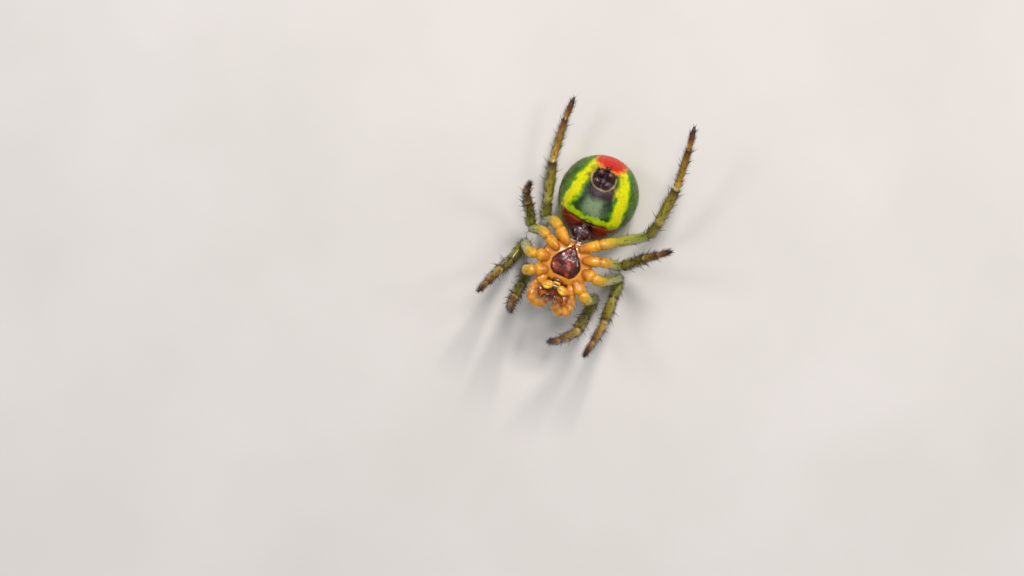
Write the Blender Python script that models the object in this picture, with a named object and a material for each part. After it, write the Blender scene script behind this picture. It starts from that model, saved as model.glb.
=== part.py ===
"""A cucumber green spider, an orb weaver of the genus Araniella, at life size.

The spider lies on its back, belly up, with its legs drawn in.
Sizes below are in millimetres and angles in degrees. +Z is up, so the belly faces up.
The head points to -Y, and the spider's own right is +X.
"""

import math
import random

import bmesh
import bpy
from mathutils import Quaternion, Vector

MM = 0.001

# The gap between neighbours, a fifth of a leg's width at this size
GAP = 0.1
FINE_GAP = 0.05

# Abdomen, an egg lying on its back
ABDOMEN_LENGTH = 3.9
ABDOMEN_WIDTH = 3.56
ABDOMEN_HEIGHT = 3.2
ABDOMEN_CENTRE_X = 0.13
ABDOMEN_CENTRE_Y = 3.2
ABDOMEN_SKEW = 0.06
ABDOMEN_SIDES = 28
ABDOMEN_RINGS = 18
FLAT_DEPTH = 0.03

# Head and thorax under one shield, with the back down
CARAPACE_FRONT = -1.75
CARAPACE_REAR = 1.05
CARAPACE_WIDTH = 2.4
CARAPACE_DEPTH = 1.0
CARAPACE_FLOOR = 2.82
CARAPACE_HALF_WIDTHS = (
    (0, 0.34),
    (0.08, 0.46),
    (0.25, 0.56),
    (0.45, 0.84),
    (0.66, 1.0),
    (0.86, 0.84),
    (0.96, 0.5),
    (1, 0.26),
)
CARAPACE_DEPTHS = ((0, 0.72), (0.1, 0.88), (0.3, 0.98), (0.55, 1.0), (0.8, 0.8), (0.95, 0.42), (1, 0.2))
CARAPACE_RISES = ((0, 0.3), (0.2, 0.22), (0.34, 0), (1, 0))
CARAPACE_SIDES = 12
CARAPACE_RINGS = 15

# Sternum, the heart-shaped plate between the legs
STERNUM_FRONT = -0.62
STERNUM_REAR = 0.92
STERNUM_WIDTH = 1.36
STERNUM_X = 0.03
STERNUM_LOW = 2.93
STERNUM_TOP = 3.38
STERNUM_HALF_WIDTHS = (
    (0, 0.55),
    (0.12, 0.86),
    (0.3, 1.0),
    (0.45, 0.97),
    (0.66, 0.68),
    (0.84, 0.3),
    (0.95, 0.1),
    (1, 0.05),
)
STERNUM_POINTS = 14

# Legs: the lengths of the pieces past the knee, then each leg's pose
LIMB_HEIGHT = 3.2
KNEE_HEIGHT = 0.2
HIP_AZIMUTHS = {1: -50, 2: -14, 3: 25, 4: 72}
SEGMENTS = {
    1: {"patella": 1.25, "tibia": 2.1, "metatarsus": 2.1, "tarsus": 0.95},
    2: {"patella": 1.2, "tibia": 1.95, "metatarsus": 2.0, "tarsus": 0.95},
    3: {"patella": 0.85, "tibia": 1.15, "metatarsus": 1.15, "tarsus": 0.7},
    4: {"patella": 1.05, "tibia": 1.9, "metatarsus": 1.95, "tarsus": 0.92},
}
STOUTNESS = {1: 1.0, 2: 0.98, 3: 0.9, 4: 0.98}
# Each segment's heading and pitch, read from the way the spider holds it
POSES = {
    "right_1": {
        "coxa": (-36, 0.65),
        "femur": (34, 3.037, KNEE_HEIGHT),
        "rest": ((-95, 36), (-101, 70), (-133, 66), (-152, 61)),
    },
    "right_2": {
        "coxa": (-8, 0.55),
        "femur": (36, 3.164, KNEE_HEIGHT),
        "rest": ((-87, 27), (-88, 54), (-100, 62), (-101, 45)),
    },
    "right_3": {
        "coxa": (17, 0.78),
        "femur": (10, 1.98, 1.3),
        "rest": ((40, 35), (45, 66), (40, 63), (37, 37)),
    },
    "right_4": {
        "coxa": (36, 0.95),
        "femur": (34, 2.85, 1.03),
        "rest": ((78, 49), (87, 20), (98, 26), (101, 14)),
    },
    "left_1": {
        "coxa": (-153, 0.6),
        "femur": (69, 3.003, KNEE_HEIGHT),
        "rest": ((-88, 46), (-99, 72), (-87, 82), (-63, 73)),
    },
    "left_2": {
        "coxa": (-170, 0.58),
        "femur": (133, 3.041, KNEE_HEIGHT),
        "rest": ((-103, 17), (-119, 72), (-109, 67), (-110, 62)),
    },
    "left_3": {
        "coxa": (153, 0.72),
        "femur": (-170, 1.92, 1.35),
        "rest": ((118, 35), (131, 65), (118, 69), (87, 58)),
    },
    "left_4": {
        "coxa": (142, 0.85),
        "femur": (-160, 2.78, 0.45),
        "rest": ((107, 37), (107, 10), (97, 10), (91, 13)),
    },
}
HIP_RADII = {1: 0.24, 2: 0.26, 3: 0.21, 4: 0.21}
COXA_RADII = {1: 0.3, 2: 0.3, 3: 0.255, 4: 0.265}
TROCHANTER_LENGTH = 0.36
TROCHANTER_RADIUS = 0.26
TROCHANTER_STEPS = 6
FEMUR_RADIUS = 0.27
PATELLA_RADIUS = 0.25
TIBIA_RADIUS = 0.25
METATARSUS_RADIUS = 0.22
TARSUS_RADIUS = 0.18
CLAW_RADIUS = 0.09
KNEE_RADIUS = 0.235
SHIN_RADIUS = 0.22
ANKLE_RADIUS = 0.2
HEEL_RADIUS = 0.17
LIMB_SIDES = 10

# Spines: how many on each segment, how long, and how far they lean to the foot
SPINE_COUNTS = {"femur": 5, "patella": 3, "tibia": 9, "metatarsus": 7}
SPINE_LENGTHS = {"femur": 0.34, "patella": 0.36, "tibia": 0.42, "metatarsus": 0.36}
SPINE_RADIUS = 0.05
SPINE_LEAN = 38
SPINE_SINK = 0.5
SPINE_TURN = 137.5
SPINE_SHORTEST = 0.18
SPINE_SEED = 7
SPINE_CLEARANCE = 0.12

# Palps curl round the jaws, as points from root to tip
PALP_POINTS = {
    "right": (
        (0.85, -1.28, 3.2),
        (0.94, -1.6, 3.15),
        (0.88, -1.88, 3.25),
        (0.61, -2.07, 3.44),
        (0.35, -1.98, 3.66),
        (0.24, -1.76, 3.84),
    ),
    "left": (
        (-0.885, -1.28, 3.2),
        (-0.86, -1.58, 3.15),
        (-0.815, -1.885, 3.25),
        (-0.56, -2.09, 3.46),
        (-0.28, -2.03, 3.66),
        (-0.15, -1.82, 3.84),
    ),
}
PALP_RADII = (0.18, 0.21, 0.22, 0.21, 0.19, 0.14)
PALP_STEP = 0.09

# Mouthparts
ENDITE_OUTER = (0.5, -1.2, 3.3)
ENDITE_INNER = (0.24, -1.14, 3.33)
ENDITE_RADIUS = 0.205
LABIUM_CENTRE = (0.0, -0.82, 3.24)
LABIUM_SIZE = (0.52, 0.22, 0.4)
JAW_BASE = (0.35, -1.5, 2.66)
JAW_END = (0.35, -1.73, 3.2)
JAW_RADII = (0.25, 0.295, 0.225)
FANG_POINTS = ((0.34, -1.72, 3.43), (0.22, -1.62, 3.48), (0.11, -1.53, 3.48), (0.05, -1.48, 3.44))
FANG_RADII = (0.09, 0.08, 0.05, 0.02)
FANG_SIDES = 8

# Pedicel, the thin waist
PEDICEL_FRONT = (0.04, 1.0, 2.62)
PEDICEL_REAR = (0.08, 1.8, 2.5)
PEDICEL_RADIUS = 0.24

# Spinnerets stand on the belly, in two pairs with the tubercle behind
SPINNERETS = {
    "spinneret_front_right": (0.21, 3.78, 0.19, 0.34),
    "spinneret_front_left": (-0.21, 3.78, 0.19, 0.34),
    "spinneret_rear_right": (0.18, 4.16, 0.15, 0.3),
    "spinneret_rear_left": (-0.18, 4.16, 0.15, 0.3),
    "anal_tubercle": (0.0, 4.46, 0.12, 0.16),
}
SPINNERET_X = 0.03
SPINNERET_SIDES = 10

# Eyes: place along the face, angle round it from straight down, radius
EYES = {
    "eye_front_middle": (0.035, 17, 0.06),
    "eye_rear_middle": (0.13, 14, 0.065),
    "eye_front_side": (0.05, 48, 0.055),
    "eye_rear_side": (0.12, 52, 0.055),
}
EYE_RINGS = 5
EYE_SIDES = 10

# Colours as the eye reads them, with roughness
FINISHES = {
    "belly_green": ("4f7a1e", 0.4),
    "shield_orange": ("b5691c", 0.3),
    "plate_maroon": ("5a1a14", 0.2),
    "limb_amber": ("e0921a", 0.3),
    "leg_olive": ("8f8a20", 0.35),
    "foot_brown": ("8a4f1c", 0.35),
    "jaw_red": ("6e2210", 0.2),
    "eye_black": ("0c0a0a", 0.05),
    "spinneret_purple": ("2b1420", 0.35),
}


def clear_scene():
    """Start from an empty scene."""
    for thing in list(bpy.data.objects):
        bpy.data.objects.remove(thing, do_unlink=True)


def linear(channel):
    """A colour channel as light instead of as the eye reads it."""
    return channel / 12.92 if channel <= 0.04045 else ((channel + 0.055) / 1.055) ** 2.4


def finish(name):
    """A plain material with the part's colour and gloss, made once."""
    if name in bpy.data.materials:
        return bpy.data.materials[name]
    code, roughness = FINISHES[name]
    channels = [linear(int(code[i : i + 2], 16) / 255) for i in (0, 2, 4)]
    material = bpy.data.materials.new(name)
    material.use_nodes = True
    shader = material.node_tree.nodes["Principled BSDF"]
    shader.inputs["Base Color"].default_value = (*channels, 1)
    shader.inputs["Roughness"].default_value = roughness
    shader.inputs["Metallic"].default_value = 0
    return material


def smooth(stops, t):
    """A value between stops, on a curve that passes through each of them."""
    last = len(stops) - 2
    k = next((i for i in range(last + 1) if t <= stops[i + 1][0]), last)
    (x0, y0), (x1, y1) = stops[k], stops[k + 1]
    before = stops[max(k - 1, 0)]
    after = stops[min(k + 2, last + 1)]
    start = (y1 - before[1]) / (x1 - before[0])
    end = (after[1] - y0) / (after[0] - x0)
    width = x1 - x0
    f = (t - x0) / width
    rise = (1 + 2 * f) * (1 - f) ** 2 * y0 + f * f * (3 - 2 * f) * y1
    return rise + width * (f * (1 - f) ** 2 * start - f * f * (1 - f) * end)


def heading(azimuth, pitch=0):
    """The direction of an azimuth from +X and a pitch up from level."""
    a, p = math.radians(azimuth), math.radians(pitch)
    return Vector((math.cos(a) * math.cos(p), math.sin(a) * math.cos(p), math.sin(p)))


def mirrored(point, side):
    """A point given for the right side, on either side."""
    return Vector((point[0] if side == "right" else -point[0], point[1], point[2]))


def loft(rings, first=None, last=None):
    """Skin a run of rings into one closed mesh, each end a point if given and else flat."""
    mesh = bmesh.new()
    loops = [[mesh.verts.new(point) for point in ring] for ring in rings]
    count = len(loops[0])
    for near, far in zip(loops, loops[1:]):
        for i in range(count):
            j = (i + 1) % count
            mesh.faces.new((near[i], near[j], far[j], far[i]))
    for loop, tip in ((loops[0], first), (loops[-1], last)):
        if tip is None:
            mesh.faces.new(loop)
            continue
        apex = mesh.verts.new(tip)
        for i in range(count):
            mesh.faces.new((loop[i], loop[(i + 1) % count], apex))
    bmesh.ops.recalc_face_normals(mesh, faces=mesh.faces)
    return mesh


def ring(centre, direction, lateral, radius, sides):
    """A circle of points square to a direction."""
    side = (lateral - direction * lateral.dot(direction)).normalized()
    up = direction.cross(side)
    turns = [2 * math.pi * i / sides for i in range(sides)]
    return [centre + (side * math.cos(a) + up * math.sin(a)) * radius for a in turns]


def segment(a, b, low, middle, high):
    """Stations between two joints, swollen in the middle: point, direction and radius."""
    way = (b - a).normalized()
    shares = ((0.18, (low + middle) / 2), (0.48, middle), (0.82, (middle + high) / 2))
    return [(a.lerp(b, fraction), way, radius) for fraction, radius in shares]


def tube(stations, lateral, sides=LIMB_SIDES, flat_start=False):
    """A tube through stations with rounded ends, or a flat one at its start."""
    first, last = stations[0], stations[-1]
    before, after = [], []
    for angle in (30, 60):
        swing = math.radians(angle)
        for (point, way, radius), outward, caps in ((first, -1, before), (last, 1, after)):
            centre = point + way * outward * radius * math.sin(swing)
            caps.append((centre, way, radius * math.cos(swing)))
    run = ([] if flat_start else before[::-1]) + stations + after
    rings = [ring(point, way, lateral, radius, sides) for point, way, radius in run]
    start = None if flat_start else first[0] - first[1] * first[2]
    return loft(rings, start, last[0] + last[1] * last[2])


def limb(joints, radii, lateral, sides=LIMB_SIDES):
    """A tube through joints with swollen middles and rounded ends.

    Each entry of radii holds a segment's radius at its start, middle and end.
    """
    joints = [Vector(joint) for joint in joints]
    ways = [(b - a).normalized() for a, b in zip(joints, joints[1:])]
    stations = []
    for k, (a, b) in enumerate(zip(joints, joints[1:])):
        turn = (ways[k] + ways[k - 1]).normalized() if k else ways[0]
        stations.append((a, turn, radii[k][0]))
        stations.extend(segment(a, b, *radii[k]))
    stations.append((joints[-1], ways[-1], radii[-1][2]))
    return tube(stations, lateral, sides)


def curl(points, radii, start, stop):
    """Stations on a smooth curve through points, between two of them given by number."""
    lines = [list(enumerate(values)) for values in (*zip(*points), radii)]
    count = math.ceil(sum((points[k + 1] - points[k]).length for k in range(start, stop)) / PALP_STEP)
    stations = []
    for k in range(count + 1):
        t = start + (stop - start) * k / count
        behind, here, ahead = (
            Vector([smooth(line, spot) for line in lines[:3]])
            for spot in (max(t - 0.01, 0), t, min(t + 0.01, len(points) - 1))
        )
        stations.append((here, (ahead - behind).normalized(), smooth(lines[3], t)))
    return stations


def elbow(corner, before, after, reach, radius, steps):
    """Stations round a corner on an arc that starts and ends at a reach from it."""
    half = before.angle(after) / 2
    bend = reach / math.tan(half)
    inward = (after - before).normalized()
    hub = corner + inward * bend / math.cos(half)
    axis = before.cross(after).normalized()
    stations = []
    for k in range(steps + 1):
        way = before.copy()
        way.rotate(Quaternion(axis, 2 * half * k / steps))
        spoke = way.cross(axis)
        stations.append((hub + spoke * bend, way, radius))
    return stations


def trim(mesh, point, normal):
    """Cut away what lies beyond a plane and cap the cut."""
    everything = mesh.verts[:] + mesh.edges[:] + mesh.faces[:]
    cut = bmesh.ops.bisect_plane(
        mesh, geom=everything, dist=1e-5, plane_co=point, plane_no=normal, clear_outer=True
    )
    rim = [item for item in cut["geom_cut"] if isinstance(item, bmesh.types.BMEdge)]
    if rim:
        bmesh.ops.edgeloop_fill(mesh, edges=rim)
        bmesh.ops.recalc_face_normals(mesh, faces=mesh.faces)


def largest_surface(mesh):
    """Keep only the largest closed surface of a mesh."""
    unseen = set(mesh.faces)
    shells = []
    while unseen:
        front = [unseen.pop()]
        shell = []
        while front:
            face = front.pop()
            shell.append(face)
            for side in face.edges:
                for other in side.link_faces:
                    if other in unseen:
                        unseen.remove(other)
                        front.append(other)
        shells.append(shell)
    shells.sort(key=len)
    for shell in shells[:-1]:
        bmesh.ops.delete(mesh, geom=shell, context="FACES")


def fuse(body, pieces):
    """Join closed pieces to a body by one Boolean union."""
    crowd = bpy.data.collections.new("pieces")
    bpy.context.scene.collection.children.link(crowd)
    shapes = [body, *pieces]
    things = []
    for shape in shapes:
        mesh = bpy.data.meshes.new("piece")
        shape.to_mesh(mesh)
        shape.free()
        things.append(bpy.data.objects.new("piece", mesh))
    bpy.context.scene.collection.objects.link(things[0])
    for thing in things[1:]:
        crowd.objects.link(thing)
    union = things[0].modifiers.new("union", "BOOLEAN")
    union.operation = "UNION"
    union.operand_type = "COLLECTION"
    union.collection = crowd
    union.solver = "EXACT"
    graph = bpy.context.evaluated_depsgraph_get()
    joined = bmesh.new()
    joined.from_mesh(things[0].evaluated_get(graph).to_mesh())
    for thing in things:
        bpy.data.objects.remove(thing, do_unlink=True)
    bpy.data.collections.remove(crowd)
    largest_surface(joined)
    return joined


def spine(root, way, tilt, length):
    """A thin tapered spine of four sides that bends a little towards its tilt."""
    lateral = way.cross(tilt).normalized()
    tip = root + way * length + tilt * length * 0.12
    middle = root + way * length * 0.5
    low = ring(root, way, lateral, SPINE_RADIUS, 4)
    high = ring(middle, way, lateral, SPINE_RADIUS * 0.62, 4)
    return loft([low, high], None, tip)


def near_body(point, own, limbs):
    """Whether a point is too near the floor, the abdomen or a limb other than its own."""
    if point.z < GAP:
        return True
    egg = Vector((ABDOMEN_CENTRE_X, ABDOMEN_CENTRE_Y, ABDOMEN_HEIGHT / 2))
    sizes = (ABDOMEN_WIDTH / 2, ABDOMEN_LENGTH / 2, ABDOMEN_HEIGHT / 2)
    if sum(((p - c) / (r + SPINE_CLEARANCE)) ** 2 for p, c, r in zip(point, egg, sizes)) < 1:
        return True
    for name, a, b, radius in limbs:
        if name == own:
            continue
        along = max(0.0, min(1.0, (point - a).dot(b - a) / (b - a).length_squared))
        if (point - a.lerp(b, along)).length < radius + SPINE_CLEARANCE:
            return True
    return False


def spines(name, part, a, b, radius, lateral, limbs, draw):
    """Spines winding round a segment, each leaning to the foot and clear of its neighbours."""
    way = (b - a).normalized()
    side = (lateral - way * lateral.dot(way)).normalized()
    up = way.cross(side)
    count = SPINE_COUNTS[part]
    turn = draw.uniform(0, 360)
    pieces = []
    for k in range(count):
        place = a.lerp(b, (k + 0.5 + draw.uniform(-0.12, 0.12)) / count)
        angle = math.radians(turn + k * SPINE_TURN + draw.uniform(-12, 12))
        out = side * math.cos(angle) + up * math.sin(angle)
        lean = math.radians(SPINE_LEAN + draw.uniform(-8, 8))
        aim = out * math.cos(lean) + way * math.sin(lean)
        length = SPINE_LENGTHS[part] * draw.uniform(0.85, 1.15)
        root = place + out * radius * SPINE_SINK
        reach = length + radius * (1 - SPINE_SINK)
        while reach > SPINE_SHORTEST + radius:
            marks = [root + aim * reach * share + way * reach * 0.12 * share for share in (0.55, 0.8, 1.0)]
            if not any(near_body(mark, name, limbs) for mark in marks):
                pieces.append(spine(root, aim, way, reach))
                break
            reach *= 0.85
    return pieces


def make(name, mesh, root, look):
    """Turn a shape into an object whose origin is its root, on the spider's empty."""
    root = Vector(root)
    floor = Vector((0, 0, 0))
    if min(vertex.co.z for vertex in mesh.verts) < 0:
        trim(mesh, floor, Vector((0, 0, -1)))
    bmesh.ops.translate(mesh, vec=-root, verts=mesh.verts)
    bmesh.ops.scale(mesh, vec=(MM, MM, MM), verts=mesh.verts)
    data = bpy.data.meshes.new(name)
    mesh.to_mesh(data)
    mesh.free()
    data.shade_smooth()
    data.set_sharp_from_angle(angle=math.radians(50))
    data.materials.append(finish(look))
    thing = bpy.data.objects.new(name, data)
    bpy.context.scene.collection.objects.link(thing)
    thing.location = root * MM
    thing.parent = bpy.data.objects["spider"]
    return thing


def abdomen_ring(u):
    """Centre, half width and half height of the egg at u from -1 in front to 1 behind."""
    swell = math.sqrt(max(1 - u * u, 0)) * (1 + ABDOMEN_SKEW * u)
    centre = Vector((
        ABDOMEN_CENTRE_X,
        ABDOMEN_CENTRE_Y + u * ABDOMEN_LENGTH / 2,
        ABDOMEN_HEIGHT / 2 - FLAT_DEPTH,
    ))
    return centre, swell * ABDOMEN_WIDTH / 2, swell * ABDOMEN_HEIGHT / 2


def belly_point(x, y):
    """The point of the belly over a place."""
    centre, wide, high = abdomen_ring((y - ABDOMEN_CENTRE_Y) / (ABDOMEN_LENGTH / 2))
    across = (x - centre.x) / wide
    return Vector((x, y, centre.z + high * math.sqrt(1 - across * across)))


def belly_normal(x, y):
    """The direction square to the belly over a place."""
    step = 0.01
    along_x = belly_point(x + step, y) - belly_point(x - step, y)
    along_y = belly_point(x, y + step) - belly_point(x, y - step)
    return along_x.cross(along_y).normalized()


def build_abdomen():
    """The egg-shaped abdomen, flat where its back rests."""
    rings = []
    for k in range(1, ABDOMEN_RINGS):
        centre, wide, high = abdomen_ring(-math.cos(math.pi * k / ABDOMEN_RINGS))
        turns = [2 * math.pi * i / ABDOMEN_SIDES for i in range(ABDOMEN_SIDES)]
        rings.append([centre + Vector((wide * math.cos(a), 0, high * math.sin(a))) for a in turns])
    front, rear = abdomen_ring(-1)[0], abdomen_ring(1)[0]
    make("abdomen", loft(rings, front, rear), (ABDOMEN_CENTRE_X, ABDOMEN_CENTRE_Y, 0), "belly_green")


def build_spinnerets():
    """Two pairs of spinnerets and the tubercle behind them, standing on the belly."""
    for name, (x, y, radius, length) in SPINNERETS.items():
        x += SPINNERET_X
        normal = belly_normal(x, y)
        base = belly_point(x, y) + normal * FINE_GAP
        rings = []
        for share, girth in ((0, 1), (0.35, 1), (0.7, 0.8), (0.92, 0.45)):
            middle = base + normal * length * share
            rings.append(ring(middle, normal, Vector((1, 0, 0)), radius * girth, SPINNERET_SIDES))
        make(name, loft(rings, None, base + normal * length), base, "spinneret_purple")


def carapace_ring(t):
    """Place along Y, half width, lowest height and floor height at t from 0 in front to 1 behind."""
    y = CARAPACE_FRONT + t * (CARAPACE_REAR - CARAPACE_FRONT)
    wide = CARAPACE_WIDTH / 2 * smooth(CARAPACE_HALF_WIDTHS, t)
    back = CARAPACE_FLOOR - CARAPACE_DEPTH * smooth(CARAPACE_DEPTHS, t)
    under = CARAPACE_FLOOR - smooth(CARAPACE_RISES, t)
    return y, wide, back, under


def carapace_point(t, angle):
    """A point of the shield's back at an angle from straight down towards the right side."""
    y, wide, back, under = carapace_ring(t)
    turn = math.radians(angle)
    return Vector((wide * math.sin(turn), y, under - (under - back) * math.cos(turn)))


def build_carapace():
    """The shield over head and thorax, domed on its back and flat where the legs meet it."""
    rings = []
    for k in range(CARAPACE_RINGS):
        t = (1 - math.cos(math.pi * k / (CARAPACE_RINGS - 1))) / 2
        dome = [carapace_point(t, -90 + 180 * i / CARAPACE_SIDES) for i in range(CARAPACE_SIDES + 1)]
        wide = dome[-1].x
        flat = [Vector((wide * share, dome[0].y, dome[0].z)) for share in (0.5, 0, -0.5)]
        rings.append(dome + flat)
    ends = []
    for loop, step in ((rings[0], -0.06), (rings[-1], 0.06)):
        middle = sum(loop, Vector()) / len(loop)
        ends.append(middle + Vector((0, step, 0)))
    make("carapace", loft(rings, *ends), (0, 0, CARAPACE_FLOOR), "shield_orange")


def build_eyes():
    """Eight small domes on the face, in two rows."""
    for name, (t, angle, radius) in EYES.items():
        for side, turn in (("right", angle), ("left", -angle)):
            seat = carapace_point(t, turn)
            across = carapace_point(t, turn + 2) - carapace_point(t, turn - 2)
            along = carapace_point(t + 0.01, turn) - carapace_point(max(t - 0.01, 0), turn)
            normal = along.cross(across).normalized()
            if normal.z > 0:
                normal.negate()
            centre = seat + normal * FINE_GAP
            rings = []
            for k in range(EYE_RINGS):
                lift = math.pi / 2 * k / EYE_RINGS
                middle = centre + normal * radius * math.sin(lift)
                rings.append(ring(middle, normal, Vector((1, 0, 0.1)), radius * math.cos(lift), EYE_SIDES))
            make(f"{name}_{side}", loft(rings, None, centre + normal * radius), centre, "eye_black")


def sternum_half_width(t):
    """Half the sternum's width at t from 0 in front to 1 behind."""
    return STERNUM_WIDTH / 2 * smooth(STERNUM_HALF_WIDTHS, t)


def sternum_edge(azimuth):
    """The point on the sternum's outline in a direction from its middle."""
    middle = Vector((STERNUM_X, (STERNUM_FRONT + STERNUM_REAR) / 2, LIMB_HEIGHT))
    way = heading(azimuth)
    reach = 0.0
    while True:
        point = middle + way * reach
        t = (point.y - STERNUM_FRONT) / (STERNUM_REAR - STERNUM_FRONT)
        if not 0 < t < 1 or abs(point.x - STERNUM_X) > sternum_half_width(t):
            return point
        reach += 0.005


def build_sternum():
    """The domed heart-shaped plate."""
    right = []
    for k in range(STERNUM_POINTS + 1):
        t = k / STERNUM_POINTS
        y = STERNUM_FRONT + t * (STERNUM_REAR - STERNUM_FRONT)
        right.append(Vector((sternum_half_width(t), y, 0)))
    outline = right + [Vector((-point.x, point.y, 0)) for point in reversed(right)]
    middle = Vector((0, (STERNUM_FRONT + STERNUM_REAR) / 2, 0))
    height = STERNUM_TOP - STERNUM_LOW
    rings = []
    for share, size in ((0, 0.9), (0.5, 1), (0.8, 0.9), (0.95, 0.6)):
        lift = Vector((STERNUM_X, 0, STERNUM_LOW + height * share))
        rings.append([middle + (point - middle) * size + lift for point in outline])
    top = middle + Vector((STERNUM_X, 0, STERNUM_TOP))
    make("sternum", loft(rings, None, top), (STERNUM_X, middle.y, STERNUM_LOW), "plate_maroon")


def build_mouth():
    """The labium, the two endites beside it, the jaws in front and their fangs."""
    centre = Vector(LABIUM_CENTRE)
    wide, long, high = (size / 2 for size in LABIUM_SIZE)
    turns = [2 * math.pi * i / LIMB_SIDES for i in range(LIMB_SIDES)]
    outline = [Vector((wide * math.cos(a), long * math.sin(a), 0)) for a in turns]
    rings = []
    for share, size in ((-1, 0.9), (0, 1), (0.7, 0.85), (0.95, 0.5)):
        middle = centre + Vector((0, 0, high * share))
        rings.append([middle + point * size for point in outline])
    make("labium", loft(rings, None, centre + Vector((0, 0, high))), centre, "plate_maroon")
    up = Vector((0, 0, 1))
    for side in ("right", "left"):
        outer, inner = mirrored(ENDITE_OUTER, side), mirrored(ENDITE_INNER, side)
        pad = limb((outer, inner), ((ENDITE_RADIUS * 0.9, ENDITE_RADIUS, ENDITE_RADIUS * 0.85),), up)
        make(f"endite_{side}", pad, outer, "limb_amber")
        base, end = mirrored(JAW_BASE, side), mirrored(JAW_END, side)
        jaw = limb((base, end), (JAW_RADII,), Vector((1, 0, 0)))
        trim(jaw, base, -up)
        trim(jaw, end, up)
        make(f"chelicera_{side}", jaw, base, "jaw_red")
        bends = [mirrored(point, side) for point in FANG_POINTS]
        shares = [(a, (a + b) / 2, b) for a, b in zip(FANG_RADII, FANG_RADII[1:])]
        make(f"fang_{side}", limb(bends, shares, up, FANG_SIDES), bends[0], "eye_black")


def build_palps():
    """Palps in two pieces, parted at the knee, curling in front of the jaws."""
    lateral = Vector((0, 0, 1))
    for side, points in PALP_POINTS.items():
        points = [Vector(point) for point in points]
        upper = curl(points, PALP_RADII, 0, 1)
        knee, turn, _ = upper[-1]
        femur = tube(upper, lateral, flat_start=True)
        trim(femur, knee - turn * GAP / 2, turn)
        make(f"palp_{side}_femur", femur, points[0], "limb_amber")
        tip = tube(curl(points, PALP_RADII, 1, len(points) - 1), lateral)
        trim(tip, knee + turn * GAP / 2, -turn)
        make(f"palp_{side}_tip", tip, knee, "limb_amber")


def plan_leg(name, pose):
    """Work out a leg's joints from hip to claw, and its thickness."""
    side, pair = name.split("_")
    pair = int(pair)
    azimuth = HIP_AZIMUTHS[pair] if side == "right" else 180 - HIP_AZIMUTHS[pair]
    way = heading(pose["coxa"][0])
    edge = sternum_edge(azimuth)
    hip = edge + way * (FINE_GAP + HIP_RADII[pair])
    shoulder = edge + way * (GAP + pose["coxa"][1])
    top = shoulder + way * TROCHANTER_LENGTH
    azimuth, length, height = pose["femur"]
    fall = top.z - height
    knee = top + heading(azimuth) * math.sqrt(length**2 - fall**2) - Vector((0, 0, fall))
    joints = [hip, shoulder, top, knee]
    for (turn, pitch), size in zip(pose["rest"], SEGMENTS[pair].values()):
        joints.append(joints[-1] + heading(turn, pitch) * size)
    return joints, pair


def list_limbs(plans):
    """Every limb as straight lengths with a thickness, for keeping spines clear."""
    limbs = []
    for name, (joints, pair) in plans.items():
        stout = STOUTNESS[pair]
        hip, shoulder, top, knee, shin, ankle, heel, claw = joints
        for part, a, b, radius in (
            ("coxa", hip, top, COXA_RADII[pair]),
            ("femur", top, knee, FEMUR_RADIUS * stout),
            ("tibia", knee, shin, PATELLA_RADIUS * stout),
            ("tibia", shin, ankle, TIBIA_RADIUS * stout),
            ("foot", ankle, heel, METATARSUS_RADIUS * stout),
            ("foot", heel, claw, TARSUS_RADIUS * stout),
        ):
            limbs.append((f"leg_{name}_{part}", a, b, radius))
    for side, points in PALP_POINTS.items():
        for a, b in zip(points, points[1:]):
            limbs.append((f"palp_{side}", Vector(a), Vector(b), max(PALP_RADII)))
    return limbs


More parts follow.
